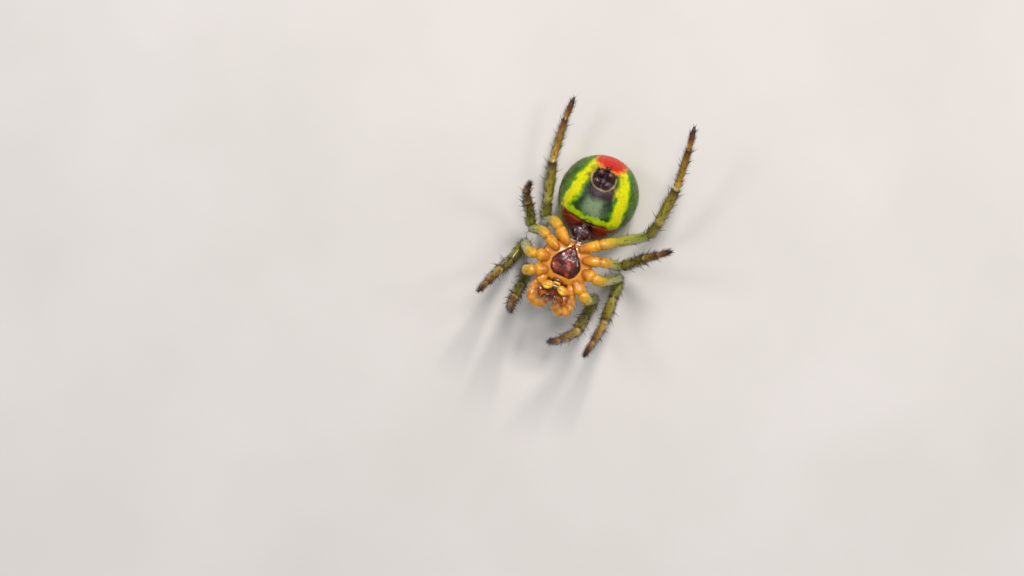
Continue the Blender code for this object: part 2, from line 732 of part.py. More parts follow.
def build_leg(name, plan, limbs, draw):
    """A coxa, a femur with its trochanter, a patella with its tibia, and a foot."""
    joints, pair = plan
    stout = STOUTNESS[pair]
    hip, shoulder, top, knee, shin, ankle, heel, claw = joints
    up = Vector((0, 0, 1))
    way = (shoulder - hip).normalized()
    down = (knee - top).normalized()
    rise = (ankle - shin).normalized()
    lateral = down.cross(rise).normalized()

    def radii(low, middle, high):
        return low * stout, middle * stout, high * stout

    def grow(part, node, a, b, radius):
        return spines(node, part, a, b, radius * stout, lateral, limbs, draw)

    coxa = limb((hip, shoulder), ((HIP_RADII[pair], COXA_RADII[pair], TROCHANTER_RADIUS * stout),), up)
    trim(coxa, shoulder - way * GAP / 2, way)
    make(f"leg_{name}_coxa", coxa, hip, "limb_amber")

    node = f"leg_{name}_femur"
    collar = TROCHANTER_RADIUS * stout
    reach = TROCHANTER_LENGTH - GAP / 2
    thigh = top + down * reach
    thick = radii(TROCHANTER_RADIUS, FEMUR_RADIUS, KNEE_RADIUS)
    stations = elbow(top, way, down, reach, collar, TROCHANTER_STEPS)
    stations += segment(thigh, knee, *thick)
    stations.append((knee, down, thick[2]))
    femur = tube(stations, way.cross(down), flat_start=True)
    fold = (down + (shin - knee).normalized()).normalized()
    trim(femur, knee - fold * GAP / 2, fold)
    femur = fuse(femur, grow("femur", node, thigh, knee, FEMUR_RADIUS))
    make(node, femur, top, "leg_olive")

    node = f"leg_{name}_tibia"
    patella_radii = radii(KNEE_RADIUS, PATELLA_RADIUS, SHIN_RADIUS)
    tibia_radii = radii(SHIN_RADIUS, TIBIA_RADIUS, ANKLE_RADIUS)
    tibia = limb((knee, shin, ankle), (patella_radii, tibia_radii), lateral)
    trim(tibia, knee + fold * GAP / 2, -fold)
    bend = (rise + (heel - ankle).normalized()).normalized()
    trim(tibia, ankle - bend * GAP / 2, bend)
    pieces = grow("patella", node, knee.lerp(shin, 0.3), shin, PATELLA_RADIUS)
    pieces += grow("tibia", node, shin, ankle, TIBIA_RADIUS)
    make(node, fuse(tibia, pieces), knee, "leg_olive")

    node = f"leg_{name}_foot"
    metatarsus_radii = radii(ANKLE_RADIUS, METATARSUS_RADIUS, HEEL_RADIUS)
    tarsus_radii = radii(HEEL_RADIUS, TARSUS_RADIUS, CLAW_RADIUS)
    foot = limb((ankle, heel, claw), (metatarsus_radii, tarsus_radii), lateral)
    trim(foot, ankle + bend * GAP / 2, -bend)
    foot = fuse(foot, grow("metatarsus", node, ankle, heel, METATARSUS_RADIUS))
    make(node, foot, ankle, "foot_brown")


def build_pedicel():
    """The waist between the shield and the abdomen."""
    front, rear = Vector(PEDICEL_FRONT), Vector(PEDICEL_REAR)
    waist = limb((front, rear), ((PEDICEL_RADIUS,) * 3,), Vector((0, 0, 1)))
    trim(waist, Vector((0, CARAPACE_REAR + 0.06 + FINE_GAP, 0)), Vector((0, -1, 0)))
    way = (rear - front).normalized()
    meet = front.copy()
    while abs(meet.y - ABDOMEN_CENTRE_Y) > ABDOMEN_LENGTH / 2 or belly_point(meet.x, meet.y).z < meet.z:
        meet += way * 0.01
    normal = belly_normal(meet.x, meet.y)
    trim(waist, meet + normal * GAP, -normal)
    make("pedicel", waist, front, "plate_maroon")


def centre_spider():
    """Move the spider so that its box stands centred on the origin."""
    bpy.context.view_layer.update()
    spider = bpy.data.objects["spider"]
    corners = []
    for thing in spider.children:
        corners.extend(thing.matrix_world @ vertex.co for vertex in thing.data.vertices)
    for axis in (0, 1):
        values = [corner[axis] for corner in corners]
        spider.location[axis] = -(min(values) + max(values)) / 2
    bpy.context.view_layer.update()


def main():
    """Build the whole spider on one empty."""
    clear_scene()
    spider = bpy.data.objects.new("spider", None)
    bpy.context.scene.collection.objects.link(spider)
    build_abdomen()
    build_spinnerets()
    build_pedicel()
    build_carapace()
    build_eyes()
    build_sternum()
    build_mouth()
    build_palps()
    plans = {name: plan_leg(name, pose) for name, pose in POSES.items()}
    limbs = list_limbs(plans)
    draw = random.Random(SPINE_SEED)
    for name, plan in plans.items():
        build_leg(name, plan, limbs, draw)
    centre_spider()


main()
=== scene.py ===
"""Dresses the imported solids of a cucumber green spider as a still, life-size museum model.

Lengths are in millimetres and angles in degrees, in the plan that the solids are built from:
+X is the spider's own right, the head points to -Y, and the belly faces up along +Z.
"""

import math

import bmesh
import bpy
import numpy as np
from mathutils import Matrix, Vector, noise


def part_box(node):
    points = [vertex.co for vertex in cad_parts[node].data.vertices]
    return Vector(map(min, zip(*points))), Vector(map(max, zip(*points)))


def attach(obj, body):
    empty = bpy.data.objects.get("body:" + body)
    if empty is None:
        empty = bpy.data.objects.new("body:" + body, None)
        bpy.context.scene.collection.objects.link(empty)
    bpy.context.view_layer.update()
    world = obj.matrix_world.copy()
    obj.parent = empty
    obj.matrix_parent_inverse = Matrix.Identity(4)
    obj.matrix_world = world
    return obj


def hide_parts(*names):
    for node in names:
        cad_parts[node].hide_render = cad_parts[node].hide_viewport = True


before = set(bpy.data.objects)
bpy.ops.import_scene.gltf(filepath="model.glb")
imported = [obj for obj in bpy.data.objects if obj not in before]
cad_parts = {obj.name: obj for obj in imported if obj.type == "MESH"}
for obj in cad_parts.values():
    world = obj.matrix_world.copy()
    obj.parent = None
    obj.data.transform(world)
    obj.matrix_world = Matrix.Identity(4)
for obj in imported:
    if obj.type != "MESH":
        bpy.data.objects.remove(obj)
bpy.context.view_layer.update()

MM = 0.001
SEED = 11
UP = np.array((0.0, 0.0, 1.0))
RIGHT = np.array((1.0, 0.0, 0.0))
REAR = np.array((0.0, 1.0, 0.0))
SIDES = ("right", "left")

# How far each skin lies inside its solid
INSET = 0.03
COXA_INSET = 0.02

# Each hair's own patch on the unwrap laid out for its colours
BAKE_PATCH = 0.003

# How far a hair bends over its length, and how low its tip may come
CURL = 0.25
HAIR_FLOOR = 0.02

# How much hairs differ in stand, aim and length, and how many radii deep they are rooted
STAND_SPREAD = 7
AIM_SPREAD = 0.06
LENGTH_SPREAD = (0.75, 1.2)
ROOT_DEPTH = 1.5

# Distance between the rings of a leg, of other limbs, and of small parts
LEG_STEP = 0.04
LIMB_STEP = 0.02
FINE_STEP = 0.01

# Points round a limb, and height and size of the lumps on a limb and on a leg
LIMB_SIDES = 32
LIMB_LUMP = (0.004, 0.22)
LEG_LUMP = (0.003, 0.3)

# Angles of the rings that round off a limb's end
CAP_ANGLES = (80, 62, 45, 28, 12)

# Abdomen
ABDOMEN_SIZE = np.array((3.56, 3.9, 3.2))
ABDOMEN_MIDDLE = np.array((0.13, 3.2, 1.57))
ABDOMEN_SKEW = 0.06
ABDOMEN_RINGS = 190
ABDOMEN_SIDES = 220

# Shield over head and thorax, from t = 0 in front to 1 behind
CARAPACE_FRONT = -1.75
CARAPACE_REAR = 1.05
CARAPACE_WIDTH = 2.4
CARAPACE_DEPTH = 1.0
CARAPACE_FLOOR = 2.82
CARAPACE_HALF_WIDTHS = (
    (0, 0.34), (0.08, 0.46), (0.25, 0.56), (0.45, 0.84), (0.66, 1.0), (0.86, 0.84), (0.96, 0.5), (1, 0.26),
)
CARAPACE_DEPTHS = ((0, 0.72), (0.1, 0.88), (0.3, 0.98), (0.55, 1.0), (0.8, 0.8), (0.95, 0.42), (1, 0.2))
CARAPACE_RISES = ((0, 0.3), (0.2, 0.22), (0.34, 0), (1, 0))
CARAPACE_RINGS = 110
CARAPACE_SIDES = 96
PIT_PLACE = 0.66
# Rings that round off the shield's ends: share of the last ring's size, and step beyond it
CARAPACE_CAPS = ((0.4, 0.05), (0.7, 0.04), (0.9, 0.02))

# Sternum, from t = 0 in front to 1 behind
STERNUM_FRONT = -0.62
STERNUM_REAR = 0.92
STERNUM_WIDTH = 1.36
STERNUM_X = 0.03
STERNUM_LOW = 2.93
STERNUM_TOP = 3.38
STERNUM_CEILING = STERNUM_TOP - 0.004
STERNUM_HALF_WIDTHS = (
    (0, 0.55), (0.12, 0.86), (0.3, 1.0), (0.45, 0.97), (0.66, 0.68), (0.84, 0.3), (0.95, 0.1), (1, 0.05),
)
# Share of the sternum's height, and of its outline's size there
STERNUM_PROFILE = (
    (0, 0.87), (0.15, 0.93), (0.35, 0.98), (0.5, 0.985), (0.62, 0.95), (0.7, 0.915), (0.77, 0.87),
    (0.83, 0.8), (0.88, 0.71), (0.92, 0.6), (0.95, 0.48), (0.975, 0.35), (0.99, 0.2),
)
STERNUM_STEPS = 48
STERNUM_BRISTLES = 46

# Legs: azimuth of each hip, lengths past the knee, thickness, and each leg's pose
LIMB_HEIGHT = 3.2
KNEE_HEIGHT = 0.2
GAP = 0.1
FINE_GAP = 0.05
HIP_RADII = {1: 0.24, 2: 0.26, 3: 0.21, 4: 0.21}
COXA_RADII = {1: 0.3, 2: 0.3, 3: 0.255, 4: 0.265}
TROCHANTER_LENGTH = 0.36
TROCHANTER_REACH = 0.31
HIP_AZIMUTHS = {1: -50, 2: -14, 3: 25, 4: 72}
SEGMENTS = {
    1: (1.25, 2.1, 2.1, 0.95),
    2: (1.2, 1.95, 2.0, 0.95),
    3: (0.85, 1.15, 1.15, 0.7),
    4: (1.05, 1.9, 1.95, 0.92),
}
STOUTNESS = {1: 1.0, 2: 0.98, 3: 0.9, 4: 0.98}
# Azimuth and reach of the hip, then azimuth and length of the thigh and the height that it
# ends at, then azimuth and pitch of each segment past the knee
POSES = {
    "right_1": ((-36, 0.65), (34, 3.037, KNEE_HEIGHT), ((-95, 36), (-101, 70), (-133, 66), (-152, 61))),
    "right_2": ((-8, 0.55), (36, 3.164, KNEE_HEIGHT), ((-87, 27), (-88, 54), (-100, 62), (-101, 45))),
    "right_3": ((17, 0.78), (10, 1.98, 1.3), ((40, 35), (45, 66), (40, 63), (37, 37))),
    "right_4": ((36, 0.95), (34, 2.85, 1.03), ((78, 49), (87, 20), (98, 26), (101, 14))),
    "left_1": ((-153, 0.6), (69, 3.003, KNEE_HEIGHT), ((-88, 46), (-99, 72), (-87, 82), (-63, 73))),
    "left_2": ((-170, 0.58), (133, 3.041, KNEE_HEIGHT), ((-103, 17), (-119, 72), (-109, 67), (-110, 62))),
    "left_3": ((153, 0.72), (-170, 1.92, 1.35), ((118, 35), (131, 65), (118, 69), (87, 58))),
    "left_4": ((142, 0.85), (-160, 2.78, 0.45), ((107, 37), (107, 10), (97, 10), (91, 13))),
}
# A leg is measured in segments from hip 0 over shoulder 1, bend 2, knee 3, shin 4, ankle 5
# and heel 6 to the claws 7. These are its radii along that measure, past its coxa.
LEG_RADII = (
    (0.9, 0.246), (1.15, 0.238), (1.5, 0.245), (2.0, 0.24), (2.15, 0.205), (2.4, 0.238), (2.65, 0.243),
    (2.92, 0.215), (3.1, 0.2), (3.5, 0.225), (3.92, 0.205), (4.08, 0.196), (4.5, 0.23), (4.93, 0.184),
    (5.06, 0.15), (5.5, 0.168), (5.95, 0.138), (6.08, 0.118), (6.5, 0.134), (6.85, 0.092), (7, 0.06),
)
LEG_END = 7
LEG_SIDES = 30
LEG_FLOOR = 0.004
CORNER_REACHES = {2: TROCHANTER_REACH, 3: 0.3, 4: 0.2, 5: 0.16, 6: 0.12}
GROOVE_DEPTH = 0.17
GROOVE_WIDTH = 0.055
COLLAR_RISE = 0.07
COLLAR_PLACE = 0.13
COLLAR_WIDTH = 0.05

# Spines: span of the leg's measure, count, length and radius
SPINE_ROWS = (
    ((2.25, 2.95), 8, 0.3, 0.016),
    ((3.15, 3.95), 6, 0.32, 0.018),
    ((4.08, 4.92), 17, 0.38, 0.019),
    ((5.1, 5.9), 13, 0.33, 0.017),
    ((6.2, 6.9), 5, 0.2, 0.013),
)
SPINE_TURN = 137.5
SPINE_STAND = 58
TIP_CLEARANCE = 0.28
SOCKET_FLOOR = 0.08

# Fine hairs of a limb: name, count, span of its measure, length, radius, angle off the limb
LEG_HAIRS = (("hairs", 1150, (2.95, 6.9), 0.19, 0.0055, 38), ("fuzz", 240, (0.3, 2.95), 0.14, 0.0045, 36))
PALP_BRISTLES = (26, (0.3, 4.8), 0.22, 0.01, 55)
PALP_HAIRS = (260, (0.1, 5), 0.13, 0.004, 40)
SPINNERET_HAIRS = (60, (0.2, 0.9), 0.13, 0.006, 50)

# Length and radius of a bristle, a fringe's hair, a tooth, a spine's socket, a hair of the shield
BRISTLE_SIZE = (0.17, 0.006)
FRINGE_SIZE = (0.13, 0.007)
TOOTH_SIZE = (0.08, 0.022)
SOCKET_SIZE = (0.07, 0.045)
CARAPACE_HAIR_SIZE = (0.16, 0.005)

# Hairs of the body: count, length and radius
BELLY_HAIRS = {"pale": (2400, 0.13, 0.0038), "dark": (450, 0.15, 0.0045)}
BELLY_HAIR_FLOOR = 0.08
# Up to this angle from the belly's middle line, only this share of the hairs grows
BELLY_BARE_ANGLE = 52
BELLY_BARE_SHARE = 0.22
CARAPACE_HAIRS = 420

# Palps
PALP_POINTS = {
    "right": (
        (0.85, -1.28, 3.2), (0.94, -1.6, 3.15), (0.88, -1.88, 3.25),
        (0.61, -2.07, 3.44), (0.35, -1.98, 3.66), (0.24, -1.76, 3.84),
    ),
    "left": (
        (-0.885, -1.28, 3.2), (-0.86, -1.58, 3.15), (-0.815, -1.885, 3.25),
        (-0.56, -2.09, 3.46), (-0.28, -2.03, 3.66), (-0.15, -1.82, 3.84),
    ),
}
PALP_RADII = (
    (0, 0.16), (0.5, 0.19), (1, 0.185), (1.5, 0.204), (2, 0.195),
    (2.5, 0.204), (3, 0.19), (3.6, 0.188), (4.4, 0.16), (5, 0.11),
)
PALP_GROOVES = (1, 2, 3)
PALP_GROOVE_DEPTH = 0.04
# The swelling beside each groove: share of the groove's depth, place and width
SWELL_SHARE = 0.4
SWELL_PLACE = 0.1
SWELL_WIDTH = 0.045

# Mouthparts
ENDITE_OUTER = (0.5, -1.2, 3.3)
ENDITE_INNER = (0.24, -1.14, 3.33)
ENDITE_RADII = ((0, 0.1558), (0.5, 0.19), (1, 0.1596))
FRINGE_COUNT = 70
LABIUM_CENTRE = (0.0, -0.82, 3.24)
LABIUM_SIZE = (0.5, 0.2, 0.38)
LABIUM_LIP_CENTRE = (0.0, -0.96, 3.32)
LABIUM_LIP_SIZE = (0.34, 0.14, 0.2)
LIP_POINTS = ((0.54, -1.25, 3.37), (0.38, -1.285, 3.4), (0.19, -1.22, 3.41))
LIP_RADII = ((0, 0.04), (0.5, 0.085), (1, 0.095), (1.5, 0.085), (2, 0.04))
JAW_BASE = (0.35, -1.5, 2.66)
JAW_END = (0.35, -1.73, 3.2)
JAW_RADII = ((0, 0.22), (0.15, 0.25), (0.5, 0.28), (0.85, 0.235), (1, 0.17))
FANG_POINTS = ((0.34, -1.72, 3.43), (0.22, -1.62, 3.48), (0.11, -1.53, 3.48), (0.05, -1.48, 3.44))
FANG_RADII = ((0, 0.08), (1, 0.065), (2, 0.04), (3, 0.012))
FANG_REACHES = {1: 0.04, 2: 0.03}

# Waist
PEDICEL_FRONT = (0.04, 1.0, 2.62)
PEDICEL_REAR = (0.08, 1.8, 2.5)
PEDICEL_RADIUS = 0.2
PEDICEL_RINGS = 12

# Soft seats and folds: centre, size and squareness
MOUTH_FLOOR = ((0.0, -1.2, 2.98), (1.24, 0.66, 0.34), 3.0)
JAW_SEAT = ((0.56, -1.5, 2.86), (0.62, 0.72, 0.5), 2.4)
PALP_SEAT = ((0.7, -1.02, 2.98), (0.5, 0.62, 0.46), 2.6)
WAIST_FOLD = ((0.06, 1.5, 2.46), (0.9, 0.66, 0.5), 2.6)
BODY_WALL = ((0.03, 0.02, 2.94), (2.24, 1.84, 0.5), 3.0)

# Spinnerets: place on the belly, radius and length
SPINNERETS = {
    "spinneret_front_right": (0.24, 3.78, 0.18, 0.33),
    "spinneret_front_left": (-0.18, 3.78, 0.18, 0.33),
    "spinneret_rear_right": (0.21, 4.16, 0.14, 0.29),
    "spinneret_rear_left": (-0.15, 4.16, 0.14, 0.29),
    "anal_tubercle": (0.03, 4.46, 0.11, 0.15),
}
# Share of a spinneret's length, and of its radius there
SPINNERET_PROFILE = (
    (-0.16, 1.02), (0.0, 1.0), (0.3, 0.99), (0.5, 0.92),
    (0.58, 0.78), (0.66, 0.8), (0.82, 0.62), (0.93, 0.36),
)
# Where a spinneret's rings start and stop, and their count, then where its tip is
SPINNERET_SPAN = (-0.16, 0.95, 30)
SPINNERET_TIP = 0.98
# Spigots: count, place and length as shares of the spinneret's length, and radius
SPIGOT_COUNT = 16
SPIGOT_PLACE = 0.84
SPIGOT_LENGTH = 0.22
SPIGOT_RADIUS = 0.012

# Eyes: place along the face, angle round it from straight down, radius
EYES = {
    "eye_front_middle": (0.035, 17, 0.06),
    "eye_rear_middle": (0.13, 14, 0.065),
    "eye_front_side": (0.05, 48, 0.055),
    "eye_rear_side": (0.12, 52, 0.055),
}
LENS_FIT = 0.97
# Angles from a lens's base that its rings start and stop at, and their count
LENS_ANGLES = (-25, 85, 14)
# The ring round each eye: height over the lens's base, and girth for its radius
EYE_RING = ((-0.09, 1.5), (-0.04, 1.45), (0.0, 1.3), (0.012, 1.12), (0.0, 0.95))

# Camera, which looks straight down: the photograph's frame is 44.5 mm wide at the belly's level
CAMERA_ROLL = 24
CAMERA_DISTANCE = 150
VIEW_LEVEL = 3.5
VIEW_MIDDLE = (-1.703, -1.948)
VIEW_WIDTH = 44.52
SENSOR = 36
FLOOR_HALF = 400

# Lamps: direction across, up and out of the photograph, distance, size, power and colour.
# The glint lamp stands near the camera's line, for the small bright spots on wet-looking parts.
LAMPS = {
    "key": ((0.2, 0.62, 1.0), 160, 34, 0.13, "fff4ee"),
    "glint": ((0.05, 0.14, 1.0), 160, 30, 0.05, "fff0f4"),
    "fill_left": ((-0.75, 0.3, 1.0), 170, 40, 0.044, "f4f6ff"),
    "fill_right": ((0.75, 0.1, 1.0), 170, 40, 0.035, "ffffff"),
}


def lay_out():
    """How far the plan lies from the frame, in millimetres."""
    low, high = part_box("abdomen")
    middle = np.array((low + high) / 2) / MM
    return np.array((middle[0] - ABDOMEN_MIDDLE[0], middle[1] - ABDOMEN_MIDDLE[1], 0.0))


SHIFT = lay_out()


# Numbers

def unit(vectors):
    """Vectors scaled to length one."""
    vectors = np.asarray(vectors, float)
    return vectors / np.maximum(np.linalg.norm(vectors, axis=-1, keepdims=True), 1e-12)


def heading(azimuth, pitch=0):
    """The direction of an azimuth from +X and a pitch up from level."""
    a, p = math.radians(azimuth), math.radians(pitch)
    return np.array((math.cos(a) * math.cos(p), math.sin(a) * math.cos(p), math.sin(p)))


def smooth(stops, t):
    """A value between stops, on a curve that passes through each of them."""
    last = len(stops) - 2
    k = next((i for i in range(last + 1) if t <= stops[i + 1][0]), last)
    (x0, y0), (x1, y1) = stops[k], stops[k + 1]
    before = stops[max(k - 1, 0)]
    after = stops[min(k + 2, last + 1)]
    start = (y1 - before[1]) / (x1 - before[0])
    end = (after[1] - y0) / (after[0] - x0)
    width = x1 - x0
    f = (t - x0) / width
    rise = (1 + 2 * f) * (1 - f) ** 2 * y0 + f * f * (3 - 2 * f) * y1
    return rise + width * (f * (1 - f) ** 2 * start - f * f * (1 - f) * end)


def profile(stops, places):
    """The value between stops at each place."""
    return np.array([smooth(stops, place) for place in places])


def ripple(points, size, seed=0):
    """Smooth noise from -1 to 1 at each point, for lumps of a size in millimetres."""
    flat = np.asarray(points, float).reshape(-1, 3) / size + seed
    values = np.array([noise.noise(point) for point in flat.tolist()])
    return values.reshape(np.asarray(points).shape[:-1])


def hill(distance, width):
    """A smooth bump of height one."""
    return np.exp(-((distance / width) ** 2))


def eased(k, count):
    """A share from 0 to 1 that goes slowly near both ends."""
    return (1 - math.cos(math.pi * k / count)) / 2


def map_place(part, whole=1):
    """A share of a whole, kept a little off the map's edges."""
    return 0.01 + 0.98 * part / whole


def mirrored(point, side):
    """A point given for the right side, on either side."""
    return np.array((point[0] if side == "right" else -point[0], point[1], point[2]))


# Materials

# Sizes that the patterns' scales come from. Crystal cells, the cuticle's scale rows and its
# pits are finer in life, and are drawn as coarse as they need to show.
SKIN_WANDER = 0.28
SKIN_TINT = 0.5
CRYSTAL = 0.06
SKIN_CREASE = 0.05
LIMB_DRIFT = 0.3
FRECKLE_SPACING = 0.22
SCALE_ROW = 0.035
PIT_SPACING = 0.045
PLATE_WAVE = 0.12
HAIR_DRIFT = 0.15
EYE_DRIFT = 0.06
FLOOR_CLOUD = 9

# How a layer darkens or lightens the colour under it
MULTIPLY = {"out": 2, "data_type": "RGBA", "blend_type": "MULTIPLY"}


def linear(code):
    """An sRGB hex colour as the light that it stands for."""
    channels = [int(code[i : i + 2], 16) / 255 for i in (0, 2, 4)]
    return (*[c / 12.92 if c <= 0.04045 else ((c + 0.055) / 1.055) ** 2.4 for c in channels], 1.0)


def pattern(place, size, **more):
    """Inputs that lay a pattern on a place, with cells of a size in millimetres."""
    return {"Vector": place, "Scale": 1 / (size * MM), **more}


def feed(tree, node, inputs):
    """Give each input a value or another node's output."""
    for key, value in inputs.items():
        if isinstance(value, bpy.types.NodeSocket):
            tree.links.new(value, node.inputs[key])
        else:
            node.inputs[key].default_value = value


def add(tree, kind, inputs, stops=(), out=0, **settings):
    """Add a node with its inputs and settings, and give back one of its outputs.

    Each input is a value or another node's output, and each stop a position and a hex colour.
    """
    node = tree.nodes.new(f"ShaderNode{kind}")
    for key, value in settings.items():
        setattr(node, key, value)
    feed(tree, node, inputs)
    for _ in stops[2:]:
        node.color_ramp.elements.new(1.0)
    for element, (position, code) in zip(node.color_ramp.elements if stops else (), stops):
        element.position = position
        element.color = linear(code)
    return node.outputs[out]


def blank(name):
    """A new material with its tree, its shader and a place on the surface."""
    look = bpy.data.materials.new(name)
    look.use_nodes = True
    tree = look.node_tree
    return look, tree, tree.nodes["Principled BSDF"], add(tree, "TexCoord", {}, out="Object")


def drifting(name, grain, detail, stops, values):
    """A material whose colours drift in patches of a size, with values for its shader."""
    look, tree, shader, place = blank(name)
    drift = add(tree, "TexNoise", pattern(place, grain, Detail=detail))
    colour = add(tree, "ValToRGB", {"Fac": drift}, stops)
    feed(tree, shader, {"Base Color": colour, **values})
    return look, tree, shader, place


# Meshes

def put(name, data):
    """A new object in the scene."""
    thing = bpy.data.objects.new(name, data)
    bpy.context.scene.collection.objects.link(thing)
    return thing


def piece(name, points, faces, look, nodes=(), fields=None):
    """A mesh piece in the frame, riding on the spider, with any measures stored on it."""
    points = np.asarray(points, float).reshape(-1, 3)
    data = bpy.data.meshes.new(name)
    data.from_pydata(((points + SHIFT) * MM).tolist(), [], faces)
    shell = bmesh.new()
    shell.from_mesh(data)
    if shell.calc_volume(signed=True) < 0:
        bmesh.ops.reverse_faces(shell, faces=shell.faces)
    shell.to_mesh(data)
    shell.free()
    for key, values in (fields or {}).items():
        store = data.attributes.new(key, "FLOAT", "POINT")
        store.data.foreach_set("value", np.asarray(values, np.float32).ravel())
    data.shade_smooth()
    data.materials.append(look)
    thing = put(name, data)
    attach(thing, "root")
    if nodes:
        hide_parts(*nodes)
    return thing


def lattice(rows, columns):
    """Faces over closed rings of points, with one more point at each end."""
    faces = []
    for row in range(rows - 1):
        for i in range(columns):
            j = (i + 1) % columns
            near, far = row * columns, (row + 1) * columns
            faces.append((near + i, near + j, far + j, far + i))
    first, last = rows * columns, rows * columns + 1
    end = (rows - 1) * columns
    for i in range(columns):
        j = (i + 1) % columns
        faces.append((first, j, i))
        faces.append((last, end + i, end + j))
    return faces


def skin(name, rings, look, nodes=(), fields=None, ends=None):
    """A closed skin over rings of points, with a point at each end."""
    rings = np.asarray(rings, float)
    rows, columns = rings.shape[:2]
    if ends is None:
        ends = (rings[0].mean(0), rings[-1].mean(0))
    points = np.concatenate([rings.reshape(-1, 3), np.array(ends)])
    full = {}
    for key, values in (fields or {}).items():
        full[key] = np.concatenate([values.ravel(), (values[0].mean(), values[-1].mean())])
    piece(name, points, lattice(rows, columns), look, nodes, full)


def strands(name, roots, aims, bends, lengths, radii, spots, look, slot="foot", sides=3, steps=2, curl=CURL):
    """Tapered hairs, spines or teeth as one joined mesh.

    Each grows from its root along its aim and curls to its bend, and its spot is its root's
    place on an unwrap of the skin that it grows from.
    """
    roots = np.asarray(roots, float)
    aims, bends = (np.broadcast_to(unit(ways), roots.shape) for ways in (aims, bends))
    count = len(roots)
    lengths = np.broadcast_to(np.asarray(lengths, float), count)[:, None]
    radii = np.broadcast_to(np.asarray(radii, float), count)[:, None]
    side = unit(np.cross(aims, bends + 0.01 * RIGHT))
    up = np.cross(aims, side)
    levels, local = [], []
    for k in range(steps):
        t = k / steps
        middle = roots + aims * lengths * t + bends * lengths * curl * t * t
        for i in range(sides):
            a = 2 * math.pi * i / sides
            levels.append(middle + (side * math.cos(a) + up * math.sin(a)) * radii * (1 - t) ** 0.7)
            local.append((t, i / sides))
    levels.append(roots + aims * lengths + bends * lengths * curl)
    local.append((1.0, 0.5))
    points = np.stack(levels, axis=1).reshape(-1, 3)
    mould = [tuple(range(sides))]
    for k in range(steps - 1):
        for i in range(sides):
            j = (i + 1) % sides
            mould.append((k * sides + j, k * sides + i, (k + 1) * sides + i, (k + 1) * sides + j))
    tip = steps * sides
    for i in range(sides):
        mould.append((tip - sides + (i + 1) % sides, tip - sides + i, tip))
    size = len(levels)
    faces = [tuple(n * size + corner for corner in face) for n in range(count) for face in mould]
    thing = piece(name, points, faces, look)
    patches = (np.asarray(spots, float)[:, None, :] + BAKE_PATCH * np.array(local)[None]).reshape(-1, 2)
    corners = np.empty(len(thing.data.loops), np.int32)
    thing.data.loops.foreach_get("vertex_index", corners)
    unwrap = thing.data.uv_layers.new(name="OFBake")
    unwrap.data.foreach_set("uv", patches[corners].astype(np.float32).ravel())


def rounded_path(joints, reaches, step):
    """Points, directions, measure and lengths along a run of joints whose corners are rounded.

    The measure counts segments: 2.5 is half way from the third joint to the fourth.
    """
    joints = [np.asarray(joint, float) for joint in joints]
    ways = [unit(b - a) for a, b in zip(joints, joints[1:])]
    sizes = [np.linalg.norm(b - a) for a, b in zip(joints, joints[1:])]
    points, directions, measures = [], [], []
    for k, (way, size) in enumerate(zip(ways, sizes)):
        start = reaches.get(k, 0.0)
        stop = size - reaches.get(k + 1, 0.0)
        if k and start:
            turn = math.acos(float(np.clip(ways[k - 1] @ way, -1, 1)))
            bend = start / math.tan(turn / 2)
            axis = unit(np.cross(ways[k - 1], way))
            hub = joints[k] - ways[k - 1] * start + np.cross(axis, ways[k - 1]) * bend
            count = max(4, int(math.ceil(2 * start / step)))
            for i in range(count):
                t = i / count
                angle = turn * t
                now = ways[k - 1] * math.cos(angle) + np.cross(axis, ways[k - 1]) * math.sin(angle)
                points.append(hub - np.cross(axis, now) * bend)
                directions.append(now)
                measures.append(k + (2 * t - 1) * start / (sizes[k - 1] if t < 0.5 else size))
        count = max(2, int(math.ceil((stop - start) / step)))
        for i in range(count):
            along = start + (stop - start) * i / count
            points.append(joints[k] + way * along)
            directions.append(way)
            measures.append(k + along / size)
    points.append(joints[-1])
    directions.append(ways[-1])
    measures.append(float(len(ways)))
    return np.array(points), np.array(directions), np.array(measures), sizes


def curved_path(joints, step):
    """Points, directions, measure and lengths along a smooth curve through joints."""
    lines = [list(enumerate(values)) for values in zip(*joints)]
    last = len(joints) - 1
    sizes = [math.dist(a, b) for a, b in zip(joints, joints[1:])]
    measures = np.linspace(0, last, math.ceil(sum(sizes) / step))

    def places(nudge):
        """Points of the curve, moved along it by part of a segment."""
        return np.array([[smooth(line, min(max(t + nudge, 0), last)) for line in lines] for t in measures])

    return places(0), unit(places(0.01) - places(-0.01)), measures, sizes


def frames(directions, lateral):
    """A side and an up direction at each station, carried along without twisting."""
    sides = []
    side = np.asarray(lateral, float)
    for way in directions:
        side = unit(side - way * (side @ way))
        sides.append(side)
    sides = np.array(sides)
    return sides, np.cross(directions, sides)


def tube_rings(points, sides, ups, radii, columns=LIMB_SIDES):
    """Rings of points round a path, and the direction out of it at each point."""
    turns = 2 * np.pi * np.arange(columns) / columns
    outs = sides[:, None] * np.cos(turns)[None, :, None] + ups[:, None] * np.sin(turns)[None, :, None]
    return points[:, None] + outs * radii[:, None, None], outs


def turned(base, axis, lateral, lifts, radii):
    """Rings and directions of a body turned on an axis, with the sides and ups of its rings."""
    centres = np.array([base + axis * lift for lift in lifts])
    sides, ups = frames([axis] * len(lifts), lateral)
    rings, outs = tube_rings(centres, sides, ups, np.asarray(radii))
    return rings, outs, sides, ups


